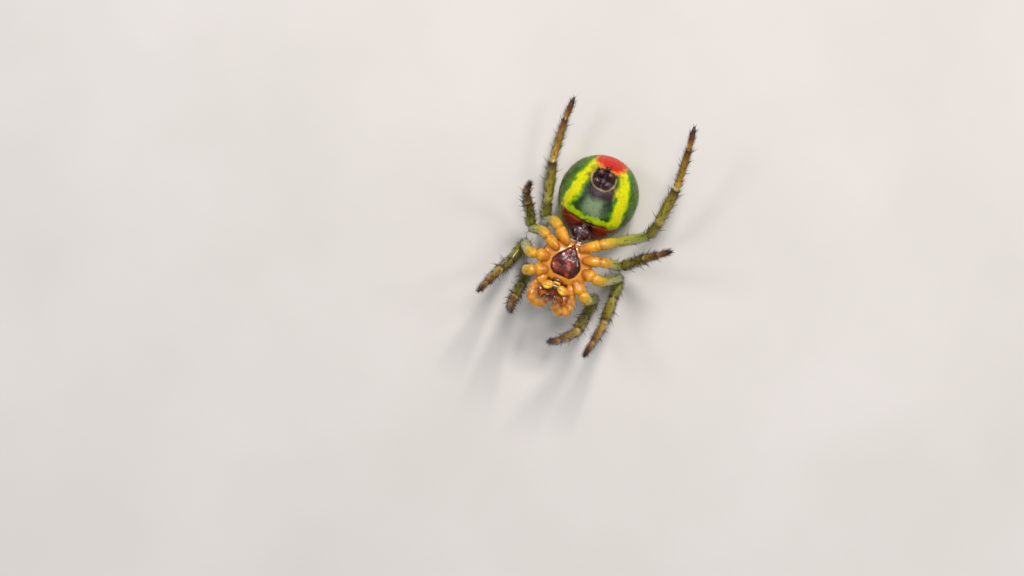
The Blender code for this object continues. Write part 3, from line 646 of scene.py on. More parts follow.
def round_off(points, directions, measures, radii):
    """Rounded ends for a path, as more stations before its start and after its end."""
    first, last = [], []
    for angle in CAP_ANGLES:
        swing = math.radians(angle)
        for k, sign, caps in ((0, -1, first), (-1, 1, last)):
            centre = points[k] + directions[k] * sign * radii[k] * math.sin(swing)
            caps.append((centre, directions[k], measures[k], radii[k] * math.cos(swing)))
    last.reverse()
    runs = []
    for n, middle in enumerate((points, directions, measures, radii)):
        head = [cap[n] for cap in first]
        tail = [cap[n] for cap in last]
        runs.append(np.concatenate([head, middle, tail]))
    return runs


def limb_rings(path, radii, lateral, columns, lump, seed=0):
    """A limb along a path: rings, directions out and along at each, and its measure."""
    points, directions, measures, thick = round_off(*path[:3], radii)
    if lateral is None:
        down, rise = directions[len(directions) // 3], directions[len(directions) * 3 // 4]
        lateral = unit(np.cross(down, rise))
    rings, outs = tube_rings(points, *frames(directions, lateral), thick, columns)
    height, size = lump
    return rings + outs * (height * ripple(rings, size, seed))[..., None], outs, directions, measures


def tapered(name, path, radii, lateral, look, slot, nodes, grooves=(), depth=0.0):
    """A rounded skin along a path, with a groove at the joints that have one."""
    measures, sizes = path[2:]
    thick = profile(radii, measures)
    for joint in grooves:
        lengths = np.where(measures < joint, sizes[joint - 1], sizes[min(joint, len(sizes) - 1)])
        away = (measures - joint) * lengths
        swell = SWELL_SHARE * hill(np.abs(away) - SWELL_PLACE, SWELL_WIDTH)
        thick *= 1 - depth * (hill(away, GROOVE_WIDTH) - swell)
    limb = limb_rings(path, thick, lateral, LIMB_SIDES, LIMB_LUMP)
    along = np.repeat(limb[3][:, None] / len(sizes), LIMB_SIDES, axis=1)
    skin(name, limb[0], look, nodes, {"along": along})
    return limb


def grow(name, limb, look, draw, count, span, length, radius, stand, sides=3, steps=2, clear=None):
    """Hairs or bristles spread over a limb."""
    rings, measures = limb[0], limb[3]
    rows = np.flatnonzero((measures > span[0]) & (measures < span[1]))
    picks = rows[draw.integers(0, len(rows), count)]
    turns = draw.integers(0, rings.shape[1], count)
    plant(name, limb, look, draw, picks, turns, length, radius, stand, sides, steps, clear)


def plant(name, limb, look, draw, picks, turns, length, radius, stand, sides, steps, clear):
    """Hairs or spines at given places of a limb, standing off it and leaning to its tip."""
    rings, outs, directions, _ = limb
    out = outs[picks, turns]
    way = directions[picks]
    tilt = np.radians(stand + draw.normal(scale=STAND_SPREAD, size=len(picks)))[:, None]
    aims = out * np.sin(tilt) + way * np.cos(tilt)
    aims = unit(aims + draw.normal(scale=AIM_SPREAD, size=aims.shape))
    roots = rings[picks, turns] - out * radius * ROOT_DEPTH
    lengths = length * draw.uniform(*LENGTH_SPREAD, len(picks))
    keep = roots[:, 2] + (aims[:, 2] + CURL * way[:, 2]) * lengths > HAIR_FLOOR
    if clear is not None:
        keep &= clear(roots + aims * lengths[:, None])
    spots = np.column_stack([map_place(turns, rings.shape[1]), map_place(picks, len(rings))])
    roots, aims, way, lengths, spots = (values[keep] for values in (roots, aims, way, lengths, spots))
    strands(name, roots, aims, way, lengths, radius, spots, look, sides=sides, steps=steps)


def dome(name, centre, size, look, nodes=(), squareness=2.4):
    """A rounded block, more square than an egg."""
    columns, rows = 40, 26
    turns = 2 * np.pi * np.arange(columns) / columns
    power = 2 / squareness
    rings = []
    for row in range(1, rows):
        rise = math.pi * row / rows - math.pi / 2
        flat = abs(math.cos(rise)) ** power
        x = np.sign(np.cos(turns)) * np.abs(np.cos(turns)) ** power * flat * size[0] / 2
        y = np.sign(np.sin(turns)) * np.abs(np.sin(turns)) ** power * flat * size[1] / 2
        z = math.copysign(abs(math.sin(rise)) ** power, rise) * size[2] / 2
        rings.append(np.column_stack([x, y, np.full(columns, z)]) + centre)
    skin(name, rings, look, nodes)


def cushion(name, shape, look, side="right"):
    """A soft seat or fold, given for the right side."""
    centre, size, squareness = shape
    dome(name, mirrored(centre, side), size, look, (), squareness)


# Abdomen. Its markings, and the painted highlight and painted shade among them, lie at u from -1 in front
# to 1 behind and at an angle from the belly's middle line, or at x and y from its own middle in millimetres.

SKIN_RADIUS = 1.7
HALF_LENGTH = 1.95
BAND_ANGLE = 38.5
BAND_TURN = 13
BAND_SPREADS = (50, 12)
BAND_HALF = 0.25
BAND_ENDS = (-0.5, 0.74)
HALO = 0.09
GLOW = 0.1
RIM = 0.12
BACK_ANGLE = 104
STRIPE_ANGLE = 119
SPIN_PLACE = (-0.10, 0.85)
SPIN_RADII = (0.56, 0.52)
FURROW_PLACE = -1.12
FURROW_BEND = 0.15
DOT_PLACES = (-0.1, 0.22, 0.5, 0.73)
DOT_ANGLE = 136
DOT_STEP = 6
DOT_RADIUS = 0.09
DIMPLES = ((-0.35, 162), (0.12, 160))
# Middle, radii, and the size that turns the distance from an oval to millimetres
OVALS = {
    "lobe": ((0.7, 0.44), (0.14, 0.24), 0.14),
    # Painted shade: a dark patch in the hollow where the waist meets the belly
    "hollow": ((0.05, -1.45), (0.42, 0.26), 0.3),
    "dusk": ((-0.02, 0.3), (0.68, 0.42), 0.5),
    "slate": ((0.62, 0.0), (0.2, 0.46), 0.2),
    # Painted highlight: a paler grey-green patch in the belly's middle, where its crown reflects the light
    "painted_sheen": ((0.02, -0.45), (0.58, 0.46), 0.5),
    "red": ((-0.02, 0.0), (0.64, 0.8), 0.64),
}
# Dusky blotches: middle, how far each is stretched across, and radius
DUSK_BLOTCHES = ((*SPIN_PLACE, 1.15, 0.6), (-0.69, 0.83, 1.4, 0.1), (0.52, 0.88, 1, 0.1))
BELLY_ONLY = ("cream", "hub", "dusk", "slate", "hollow", "painted_sheen", "arc")

# Measure, colour, softness of its edge in millimetres, how much the edge wanders
ABDOMEN_LAYERS = (
    ("back", "8cb41e", 0.3, 1.0),
    ("stripe", "dfe22c", 0.06, 1.0),
    ("field", "284e00", 0.1, 1.0),
    # Painted highlight: pale grey-green for the light reflected off the belly's middle
    ("painted_sheen", "86a078", 0.26, 1.2),
    ("slate", "263626", 0.2, 1.0),
    ("glow", "488c10", 0.12, 1.0),
    ("pale_band", "a2c408", 0.1, 1.0),
    ("arc", "b0d606", 0.09, 1.0),
    ("band", "f0f000", 0.05, 1.0),
    ("maroon", "84260c", 0.1, 1.0),
    # Painted shade in the hollow where the waist meets the belly, darker than the maroon round it
    ("hollow", "34080e", 0.16, 1.0),
    ("dusk", "34182c", 0.22, 1.4),
    ("rim", "f09428", 0.06, 0.8),
    ("red", "dc2a16", 0.05, 0.8),
    ("cream", "d0ac70", 0.04, 0.3),
    ("hub", "1c0816", 0.05, 0.5),
    ("dots", "12100c", 0.02, 0.5),
)


def belly_spot(u, angle):
    """Points on the abdomen at u from -1 in front to 1 behind, at an angle from the belly's top."""
    u, angle = np.asarray(u, float), np.asarray(angle, float)
    swell = np.sqrt(np.maximum(1 - u * u, 0)) * (1 + ABDOMEN_SKEW * u)
    wide, long, high = ABDOMEN_SIZE / 2 - INSET
    offset = np.stack([swell * wide * np.sin(angle), u * long, swell * high * np.cos(angle)], axis=-1)
    return ABDOMEN_MIDDLE + offset


def belly_point(x, y):
    """The point of the solid belly over a place, and the direction square to it."""

    def height(x, y):
        """How high the belly is at a place."""
        u = (y - ABDOMEN_MIDDLE[1]) / (ABDOMEN_SIZE[1] / 2)
        swell = math.sqrt(max(1 - u * u, 0)) * (1 + ABDOMEN_SKEW * u)
        across = (x - ABDOMEN_MIDDLE[0]) / (swell * ABDOMEN_SIZE[0] / 2)
        return ABDOMEN_MIDDLE[2] + swell * ABDOMEN_SIZE[2] / 2 * math.sqrt(1 - across * across)

    step = 0.01
    slope_x = (height(x + step, y) - height(x - step, y)) / (2 * step)
    slope_y = (height(x, y + step) - height(x, y - step)) / (2 * step)
    return np.array((x, y, height(x, y))), unit((-slope_x, -slope_y, 1.0))


def belly_out(points):
    """The direction out of the abdomen at each of its points."""
    return unit((points - ABDOMEN_MIDDLE) / (ABDOMEN_SIZE / 2) ** 2)


def oval(name, x, y):
    """About how far places lie outside one of the ovals, in millimetres."""
    (middle_x, middle_y), (wide, long), size = OVALS[name]
    return (np.hypot((x - middle_x) / wide, (y - middle_y) / long) - 1) * size


def hub_ring(x, y):
    """Distance from the spinnerets' middle, where 1 is their pale ring."""
    return np.hypot((x - SPIN_PLACE[0]) / SPIN_RADII[0], (y - SPIN_PLACE[1]) / SPIN_RADII[1])


def abdomen_measures(u, angle):
    """How far each point of the abdomen lies outside each marking, painted highlight and painted shade, in
    millimetres.
    """
    swell = np.sqrt(1 - u * u) * (1 + ABDOMEN_SKEW * u)
    girth = swell * SKIN_RADIUS
    x = swell * ABDOMEN_SIZE[0] / 2 * np.sin(angle)
    y = u * ABDOMEN_SIZE[1] / 2
    theta = np.abs(angle)
    belly = np.cos(angle) > 0
    spread = np.where(angle < 0, *BAND_SPREADS) * np.minimum(u, 0) ** 2
    across = (theta - np.radians(BAND_ANGLE - BAND_TURN * u + spread)) * girth
    stripe = np.abs(across) - BAND_HALF
    front, rear = BAND_ENDS
    past = (u - rear) * HALF_LENGTH
    pale_band = np.maximum.reduce([stripe, (front - 0.16 - u) * HALF_LENGTH, past]) - HALO
    band = np.maximum.reduce([stripe, (front - u) * 0.5, past])
    band = np.where(belly, np.minimum(band, oval("lobe", x, y)), band)
    arc_line = FURROW_PLACE + FURROW_BEND * x * x
    ring = hub_ring(x, y)
    dusk = oval("dusk", x, y)
    for place_x, place_y, stretch, radius in DUSK_BLOTCHES:
        dusk = np.minimum(dusk, np.hypot((x - place_x) / stretch, y - place_y) - radius)
    rearward = np.arctan2(u, swell * np.cos(angle))
    red = oval("red", x, (rearward - 1.17) * 1.75)
    back_edge, stripe_line = math.radians(BACK_ANGLE), math.radians(STRIPE_ANGLE)
    shown = {
        "glow": pale_band - GLOW,
        "pale_band": pale_band,
        "band": band,
        "field": across + BAND_HALF,
        "arc": np.maximum(np.abs(y - arc_line - 0.03) - 0.15, np.abs(x) - 1.25),
        "maroon": np.maximum(y - arc_line + 0.1, (theta - 1.2) * girth),
        # Painted shade in the hollow at the waist
        "hollow": oval("hollow", x, y),
        "slate": oval("slate", np.abs(x + 0.1), y + 0.1 + 0.15 * (x < 0)),
        "cream": np.maximum(np.abs(ring - 1) * 0.54 - 0.04, y - SPIN_PLACE[1] - 0.2),
        "dusk": dusk,
        "hub": (ring - 0.9) * 0.54,
        "rim": red - RIM,
        "red": red,
        # Painted highlight over the belly's middle
        "painted_sheen": oval("painted_sheen", x, y),
        "back": (back_edge - theta) * girth,
        "stripe": np.maximum(np.abs(theta - stripe_line) * girth - 0.15, np.abs(u - 0.02) * 1.9 - 1.4),
    }
    for key in BELLY_ONLY:
        shown[key] = np.where(belly, shown[key], 1.0)
    return shown


def build_abdomen(look):
    """The egg-shaped abdomen with its furrow, lung covers, dimples and soft folds."""
    u = -np.cos(np.pi * np.arange(1, ABDOMEN_RINGS) / ABDOMEN_RINGS)[:, None]
    angle = (2 * np.pi * np.arange(ABDOMEN_SIDES) / ABDOMEN_SIDES - np.pi)[None, :]
    u, angle = np.broadcast_arrays(u, angle)
    points = belly_spot(u, angle)
    fields = abdomen_measures(u, angle)
    offset = points - ABDOMEN_MIDDLE
    x, y = offset[..., 0], offset[..., 1]
    belly = np.cos(angle) > 0
    # The furrow across the belly, then the lung covers with a groove round each
    furrow_line = FURROW_PLACE - 0.13 + FURROW_BEND * x * x
    lift = -0.07 * hill(y - furrow_line, 0.05) * hill(x, 0.95) * belly
    for sign in (-1, 1):
        cover = np.hypot((x - sign * 0.72) / 0.46, (y + 1.42) / 0.26)
        lift += 0.02 * np.clip(1 - cover**4, 0, 1) * belly
        lift -= 0.03 * hill(cover - 1.08, 0.1) * belly
    # Rings round the waist's seat and the spinnerets, then pits on the back and the belly
    lift -= 0.05 * hill(np.hypot(x, y + 1.35) - 0.24, 0.05) * belly
    lift -= 0.012 * hill(hub_ring(x, y) - 1.16, 0.14) * belly
    for place, turn in DIMPLES:
        for sign in (-1, 1):
            centre = belly_spot(place, sign * math.radians(turn)) - ABDOMEN_MIDDLE
            lift -= 0.05 * hill(np.linalg.norm(offset - centre, axis=-1), 0.09)
    for row in range(3):
        for sign in (-1, 1):
            spot = np.hypot(x - sign * (0.3 + 0.05 * row), y + 0.62 - 0.3 * row)
            lift -= 0.02 * hill(spot, 0.045) * belly
    lift += 0.012 * ripple(points, 0.5) + 0.006 * ripple(points, 0.16, 5)
    lift = np.minimum(lift, INSET * 0.9)
    points = points + belly_out(points) * lift[..., None]
    points[..., 2] = np.maximum(points[..., 2], 0.0)
    dots = np.full(x.shape, 9.0)
    for k, place in enumerate(DOT_PLACES):
        for sign in (1, -1):
            centre = belly_spot(place, sign * math.radians(DOT_ANGLE - DOT_STEP * k)) - ABDOMEN_MIDDLE
            dots = np.minimum(dots, np.linalg.norm(offset - centre, axis=-1) - DOT_RADIUS)
    fields["dots"] = dots
    ends = (belly_spot(-1.0, 0.0), belly_spot(1.0, 0.0))
    skin("abdomen_skin", points, look, ("abdomen",), fields, ends)


def abdomen_cuticle():
    """Soft spider skin over a layer of pale crystals.

    The eye sees a satin, faintly pebbled green, bright where the crystals lie close under it.
    """
    look, tree, shader, place = blank("soft_green_cuticle")
    wander = add(tree, "TexNoise", pattern(place, SKIN_WANDER, Detail=4.0))
    shift = add(tree, "MapRange", {"Value": wander, "To Min": -0.26, "To Max": 0.26})
    tint = add(tree, "TexNoise", pattern(place, SKIN_TINT, Detail=3.0))
    colour = add(tree, "ValToRGB", {"Fac": tint}, ((0.3, "2f5000"), (0.55, "4c7404"), (0.75, "6e8e1a")))
    # Each layer lays its colour over the ones before it. Most are markings of the skin; the sheen layer is a
    # painted highlight over the belly's middle, and the hollow layer is painted shade where the waist meets
    # the belly.
    for key, code, soft, wandering in ABDOMEN_LAYERS:
        measure = add(tree, "Attribute", {}, out="Fac", attribute_name=key)
        wobbly = add(tree, "Math", {0: shift, 1: wandering, 2: measure}, operation="MULTIPLY_ADD")
        edge = {"Value": wobbly, "From Min": soft, "From Max": -soft}
        mask = add(tree, "MapRange", edge, interpolation_type="SMOOTHSTEP")
        colour = add(tree, "Mix", {0: mask, 6: colour, 7: linear(code)}, out=2, data_type="RGBA")
    cells = add(tree, "TexVoronoi", pattern(place, CRYSTAL), feature="F1")
    speckle = add(tree, "MapRange", {"Value": cells, "From Max": 0.9, "To Min": 1.12, "To Max": 0.72})
    colour = add(tree, "Mix", {0: 1.0, 6: colour, 7: speckle}, **MULTIPLY)
    rough = add(tree, "MapRange", {"Value": tint, "To Min": 0.26, "To Max": 0.5})
    creases = add(tree, "TexNoise", pattern(place, SKIN_CREASE, Detail=3.0))
    raised = add(tree, "Math", {0: cells, 1: creases}, operation="ADD")
    normal = add(tree, "Bump", {"Height": raised, "Strength": 0.5, "Distance": 0.012 * MM})
    feed(tree, shader, {"Base Color": colour, "Roughness": rough, "Normal": normal, "IOR": 1.42})
    feed(tree, shader, {"Specular IOR Level": 0.3, "Coat Weight": 0.1, "Coat Roughness": 0.2})
    return look


# Hard plates and limbs

LEG_COLOURS = (
    (0, "d07c08"), (0.5, "f4ac08"), (0.9, "f2aa10"), (1.0, "c8800c"), (1.15, "ecac18"), (1.9, "e0b01c"),
    (2.2, "bcb01c"), (2.45, "a0a81c"), (2.85, "7c8424"), (2.95, "4a4614"), (3.05, "9a9a3c"),
    (3.3, "a29c30"), (3.85, "86852a"), (3.95, "443a12"), (4.03, "c0b456"), (4.3, "a0962c"),
    (4.75, "8c7a22"), (4.92, "3c2a10"), (5.01, "e6cf6a"), (5.1, "d0a63c"), (5.35, "b48c2a"),
    (5.8, "8e641e"), (5.95, "462810"), (6.05, "c4933c"), (6.3, "946024"), (6.7, "562a12"), (7, "180c06"),
)
PALP_COLOURS = (
    (0, "c47a10"), (0.5, "e89a16"), (0.95, "de9216"), (1.02, "b8700e"), (1.4, "eda41c"), (2.0, "cc8010"),
    (2.5, "ee9e18"), (3.0, "c67a10"), (3.4, "f0a41c"), (4.0, "ce8614"), (4.5, "e0921a"), (5, "98501a"),
)
# Each plate's colours, the size of the patches that they drift in, and its roughness
PLATES = {
    "maroon_sclerite": (((0.32, "240612"), (0.48, "4c0e0e"), (0.58, "8a2c0a"), (0.68, "b4500e")), 0.42, 0.2),
    "dark_maroon_sclerite": (((0.35, "1c0410"), (0.55, "3c0a10"), (0.75, "6c1c0e")), 0.3, 0.3),
    "orange_sclerite": (((0.3, "8c4c12"), (0.5, "b5701e"), (0.7, "cf9030")), 0.45, 0.3),
    "red_brown_sclerite": (((0.34, "6a2408"), (0.5, "a04e10"), (0.66, "cc7c1a")), 0.3, 0.2),
    "black_horn": (((0.3, "0a0504"), (0.6, "1c0c08"), (0.75, "3a1408")), 0.1, 0.15),
    "purple_brown_cuticle": (((0.3, "1c0a18"), (0.5, "3c1830"), (0.7, "6c3440")), 0.12, 0.2),
    "soft_amber_membrane": (((0.3, "c87c0a"), (0.7, "eca414")), 0.3, 0.5),
}
# Past every limb's end, so that its whole length stays wet-looking
SHINE_ALL = 9
SHINE_FADE = 0.3


def limb_cuticle(name, colours, span, waxy, shine_end):
    """Thin, horny and half clear cuticle, as on a spider's limbs.

    The eye sees wet-looking amber or olive with sharp highlights and freckles.
    """
    look, tree, shader, place = blank(name)
    along = add(tree, "Attribute", {}, out="Fac", attribute_name="along")
    drift = add(tree, "TexNoise", pattern(place, LIMB_DRIFT, Detail=3.0))
    offset = add(tree, "MapRange", {"Value": drift, "To Min": -0.008, "To Max": 0.008})
    moved = add(tree, "Math", {0: along, 1: offset}, operation="ADD")
    colour = add(tree, "ValToRGB", {"Fac": moved}, [(measure / span, code) for measure, code in colours])
    fade = {"From Min": (shine_end - SHINE_FADE) / span, "From Max": (shine_end + SHINE_FADE) / span}
    shine = add(tree, "MapRange", {"Value": along, **fade, "To Min": 1.0, "To Max": 0.35})
    freckle = add(tree, "TexVoronoi", pattern(place, FRECKLE_SPACING), feature="F1")
    spots = add(tree, "MapRange", {"Value": freckle, "From Min": 0.16, "From Max": 0.3, "To Min": 0.45})
    colour = add(tree, "Mix", {0: 1.0 - waxy, 6: colour, 7: spots}, **MULTIPLY)
    clouds = {"Value": drift, "From Min": 0.3, "From Max": 0.7, "To Min": 0.8, "To Max": 1.15}
    cloud = add(tree, "MapRange", clouds)
    colour = add(tree, "Mix", {0: 1.0, 6: colour, 7: cloud}, **MULTIPLY)
    scales = add(tree, "TexVoronoi", pattern(place, SCALE_ROW), feature="F1")
    normal = add(tree, "Bump", {"Height": scales, "Strength": 0.35, "Distance": 0.006 * MM})
    feed(tree, shader, {"Base Color": colour, "Normal": normal, "Roughness": 0.3, "IOR": 1.53})
    feed(tree, shader, {"Subsurface Weight": 0.25, "Subsurface Radius": (1.0, 0.45, 0.12)})
    feed(tree, shader, {"Subsurface Scale": 0.12 * MM, "Coat Weight": shine, "Coat Roughness": 0.05})
    return look


def plate_cuticle(name, stops, grain, gloss):
    """Hard sclerite, the tanned plates of a spider's body.

    The eye sees deep lacquer with a bright, slightly wavy reflection.
    """
    values = {"Roughness": gloss, "IOR": 1.5, "Coat Weight": 0.9, "Coat Roughness": 0.035}
    look, tree, shader, place = drifting(name, grain, 5.0, stops, values)
    pits = add(tree, "TexVoronoi", pattern(place, PIT_SPACING), feature="F1")
    waves = add(tree, "TexNoise", pattern(place, PLATE_WAVE, Detail=2.0))
    relief = add(tree, "Math", {0: waves, 1: 3.0, 2: pits}, operation="MULTIPLY_ADD")
    normal = add(tree, "Bump", {"Height": relief, "Strength": 0.5, "Distance": 0.008 * MM})
    feed(tree, shader, {"Normal": normal})
    return look


def hair_keratin(name, root_code, tip_code, roughness):
    """Fine hollow hairs and spines of hardened cuticle.

    The eye sees thin strokes, pale and silky or black and glossy.
    """
    values = {"Roughness": roughness, "IOR": 1.55, "Coat Weight": 0.3}
    return drifting(name, HAIR_DRIFT, 2.0, ((0.35, root_code), (0.65, tip_code)), values)[0]


def eye_lens():
    """A clear domed lens over black pigment: a pinpoint reflection on jet."""
    values = {"Roughness": 0.04, "IOR": 1.45, "Coat Weight": 1.0, "Coat Roughness": 0.02}
    return drifting("eye_lens_over_black", EYE_DRIFT, 2.0, ((0.3, "050405"), (0.7, "1a1008")), values)[0]


def painted_floor():
    """Matt white paint on a smooth board: an even pale ground."""
    values = {"Roughness": 0.75, "IOR": 1.45}
    return drifting("matt_white_paint", FLOOR_CLOUD, 4.0, ((0.3, "dcdbd6"), (0.7, "e4e3df")), values)[0]


# Body

def carapace_ring(t):
    """Place along Y, half width, lowest height and floor height at t from 0 in front to 1 behind."""
    y = CARAPACE_FRONT + t * (CARAPACE_REAR - CARAPACE_FRONT)
    wide = CARAPACE_WIDTH / 2 * smooth(CARAPACE_HALF_WIDTHS, t)
    back = CARAPACE_FLOOR - CARAPACE_DEPTH * smooth(CARAPACE_DEPTHS, t)
    under = CARAPACE_FLOOR - smooth(CARAPACE_RISES, t)
    return y, wide, back, under


def carapace_point(t, angle, inset=0.0):
    """A point of the shield's back at an angle from straight down towards the right side."""
    y, wide, back, under = carapace_ring(t)
    turn = math.radians(angle)
    wide, depth = wide - inset, under - back - inset
    return np.array((wide * math.sin(turn), y, under - depth * math.cos(turn)))


def carapace_relief(x, t, angle):
    """How deep the head's furrows, the pit, the rays from it and the groove at the rim are."""
    furrow_line = 0.12 + 1.1 * max(0.62 - t, 0)
    furrow = 0.07 * hill(abs(x) - furrow_line, 0.06) * hill(t - 0.46, 0.13)
    pit = 0.12 * hill(x, 0.05) * hill(t - PIT_PLACE, 0.055)
    rays = 0.0
    if t > 0.3:
        bearing = math.atan2(x, (t - PIT_PLACE) * 2.8)
        reach = math.hypot(x, (t - PIT_PLACE) * 2.8)
        rays = 0.02 * (0.5 + 0.5 * math.cos(8 * bearing)) * hill(reach - 0.6, 0.3)
    return furrow + pit + rays + 0.03 * hill(abs(angle) - 76, 5)


def build_carapace(look):
    """The shield, with the furrows behind the head, a pit on the thorax and rays from it."""
    dome_count = CARAPACE_SIDES * 3 // 4
    flat_count = CARAPACE_SIDES - dome_count
    rings = []
    for k in range(CARAPACE_RINGS):
        t = 0.002 + 0.996 * eased(k, CARAPACE_RINGS - 1)
        y, wide, _, under = carapace_ring(t)
        ring = []
        for i in range(dome_count):
            angle = -90 + 180 * i / (dome_count - 1)
            point = carapace_point(t, angle, INSET)
            inward = unit(np.array((-point[0], 0, under - point[2])) + 1e-9)
            ring.append(point + inward * carapace_relief(point[0], t, angle))
        for i in range(flat_count):
            share = 1 - 2 * (i + 1) / (flat_count + 1)
            ring.append(np.array(((wide - INSET) * share, y, under - INSET * 0.6)))
        rings.append(ring)
    rings = np.array(rings)
    front_caps, rear_caps = [], []
    for size, step in CARAPACE_CAPS:
        middle = rings[0].mean(0)
        front_caps.append(middle + (rings[0] - middle) * size - REAR * step)
        middle = rings[-1].mean(0)
        rear_caps.insert(0, middle + (rings[-1] - middle) * size + REAR * step)
    full = np.concatenate([front_caps, rings, rear_caps])
    full = full + 0.006 * ripple(full, 0.2)[..., None] * unit(full - full.mean(axis=1, keepdims=True))
    skin("carapace_skin", full, look, ("carapace",))


def build_eyes(lens, rim):
    """Eight domed lenses, each in a dark ring."""
    for name, (t, angle, radius) in EYES.items():
        for side, turn in zip(SIDES, (angle, -angle)):
            across = carapace_point(t, turn + 2) - carapace_point(t, turn - 2)
            along = carapace_point(t + 0.01, turn) - carapace_point(max(t - 0.01, 0), turn)
            normal = unit(np.cross(along, across))
            if normal[2] > 0:
                normal = -normal
            base = carapace_point(t, turn) + normal * FINE_GAP
            swings = np.radians(np.linspace(*LENS_ANGLES))
            size = radius * LENS_FIT
            lateral = RIGHT + 0.1 * UP
            rings = turned(base, normal, lateral, size * np.sin(swings), size * np.cos(swings))[0]
            skin(f"{name}_{side}_lens", rings, lens, (f"{name}_{side}",))
            lifts, girths = zip(*EYE_RING)
            rings = turned(base, normal, lateral, lifts, radius * np.array(girths))[0]
            skin(f"{name}_{side}_ring", rings, rim)


def sternum_half_width(t):
    """Half the sternum's width at t from 0 in front to 1 behind."""
    return STERNUM_WIDTH / 2 * smooth(STERNUM_HALF_WIDTHS, t)


def sternum_edge(azimuth):
    """The point on the sternum's outline in a direction from its middle."""
    middle = np.array((STERNUM_X, (STERNUM_FRONT + STERNUM_REAR) / 2, LIMB_HEIGHT))
    way = heading(azimuth)
    reach = 0.0
    while True:
        point = middle + way * reach
        t = (point[1] - STERNUM_FRONT) / (STERNUM_REAR - STERNUM_FRONT)
        if not 0 < t < 1 or abs(point[0] - STERNUM_X) > sternum_half_width(t):
            return point
        reach += 0.005


def build_sternum(look, bristle):
    """The domed heart-shaped plate, with a low hump beside each coxa and a few bristles."""
    right = []
    for k in range(STERNUM_STEPS + 1):
        t = 0.003 + 0.994 * eased(k, STERNUM_STEPS)
        right.append((sternum_half_width(t), STERNUM_FRONT + t * (STERNUM_REAR - STERNUM_FRONT)))
    outline = np.array(right + [(-x, y) for x, y in reversed(right)])
    middle = np.array((0.0, (STERNUM_FRONT + STERNUM_REAR) / 2))
    height = STERNUM_TOP - STERNUM_LOW
    hips = [sternum_edge(a)[:2] for azimuth in HIP_AZIMUTHS.values() for a in (azimuth, 180 - azimuth)]
    rings = []
    for share, size in STERNUM_PROFILE:
        flat = middle + (outline - middle) * size
        level = np.full(len(flat), STERNUM_LOW + height * share)
        ring = np.column_stack([flat[:, 0] + STERNUM_X, flat[:, 1], level])
        if share > 0.5:
            for hip in hips:
                near = np.linalg.norm(ring[:, :2] - (hip * 0.86 + 0.14 * middle), axis=1)
                ring[:, 2] += 0.028 * hill(near, 0.13)
            ring[:, 2] -= 0.03 * hill(ring[:, 0] - STERNUM_X, 0.06) * (share > 0.85)
            ring[:, 2] = np.minimum(ring[:, 2], STERNUM_CEILING)
        rings.append(ring)
    rings = np.array(rings)
    rings += (0.026 * ripple(rings, 0.3) + 0.01 * ripple(rings, 0.12, 3))[..., None] * UP
    rings[..., 2] = np.minimum(rings[..., 2], STERNUM_CEILING)
    skin("sternum_skin", rings, look, ("sternum",))
    draw = np.random.default_rng(SEED)
    columns, count = rings.shape[1], STERNUM_BRISTLES
    picks = draw.integers(0, columns, count)
    levels = draw.integers(6, len(rings), count)
    aims = UP + 0.9 * draw.normal(size=(count, 3)) * (1, 1, 0.1) + (0, 0.5, 0)
    spots = np.column_stack([picks / columns, levels / len(rings)])
    strands("sternum_bristles", rings[levels, picks], aims, REAR, *BRISTLE_SIZE, spots, bristle)


def build_mouth(plate, amber, pale, jaw, fang, hair):
    """The labium with its pale lip, the endites with their fringes, the jaws and the fangs."""
    draw = np.random.default_rng(SEED + 1)
    dome("labium_skin", LABIUM_CENTRE, LABIUM_SIZE, plate, ("labium",))
    dome("labium_lip", LABIUM_LIP_CENTRE, LABIUM_LIP_SIZE, pale)
    cushion("mouth_floor", MOUTH_FLOOR, plate)
    for side, sign in zip(SIDES, (1, -1)):
        outer, inner = mirrored(ENDITE_OUTER, side), mirrored(ENDITE_INNER, side)
        path = rounded_path((outer, inner), {}, LIMB_STEP)
        tapered(f"endite_{side}_skin", path, ENDITE_RADII, UP, amber, "amber", (f"endite_{side}",))
        share = draw.uniform(0, 1, FRINGE_COUNT)
        edge = inner + np.outer(share - 0.5, UP - REAR) * 0.14
        edge = edge + np.array((-sign * 0.12, -0.06, 0.02))
        roots = edge + draw.normal(scale=0.02, size=edge.shape)
        aims = np.array((-sign * 0.8, -0.5, 0.35)) + draw.normal(scale=0.18, size=edge.shape)
        spots = np.column_stack([share, draw.uniform(0, 1, FRINGE_COUNT)])
        strands(f"endite_{side}_fringe", roots, aims, (0, -1.0, 0.2), *FRINGE_SIZE, spots, hair)
        path = curved_path([mirrored(point, side) for point in LIP_POINTS], FINE_STEP)
        tapered(f"endite_{side}_lip", path, LIP_RADII, UP, pale, "amber", ())
        cushion(f"jaw_seat_{side}", JAW_SEAT, jaw, side)
        base, end = mirrored(JAW_BASE, side), mirrored(JAW_END, side)
        path = rounded_path((base, end), {}, LIMB_STEP)
        tapered(f"chelicera_{side}_skin", path, JAW_RADII, RIGHT, jaw, "jaw", (f"chelicera_{side}",))
        path = rounded_path([mirrored(point, side) for point in FANG_POINTS], FANG_REACHES, FINE_STEP)
        tapered(f"fang_{side}_skin", path, FANG_RADII, UP, fang, "fang", (f"fang_{side}",))
        teeth = []
        for k in range(4):
            for row in (-1, 1):
                place = (-sign * 0.14, 0.06 * k - 0.05 + 0.02 * row, 0.1 - 0.02 * k + 0.03 * row)
                teeth.append(end + np.array(place))
        aim = (-sign * 0.6, 0.2, 0.8)
        spots = np.column_stack([np.linspace(0.1, 0.9, len(teeth)), np.full(len(teeth), 0.5)])
        strands(f"chelicera_{side}_teeth", teeth, aim, aim, *TOOTH_SIZE, spots, fang, "fang", 8, 3, 0.0)


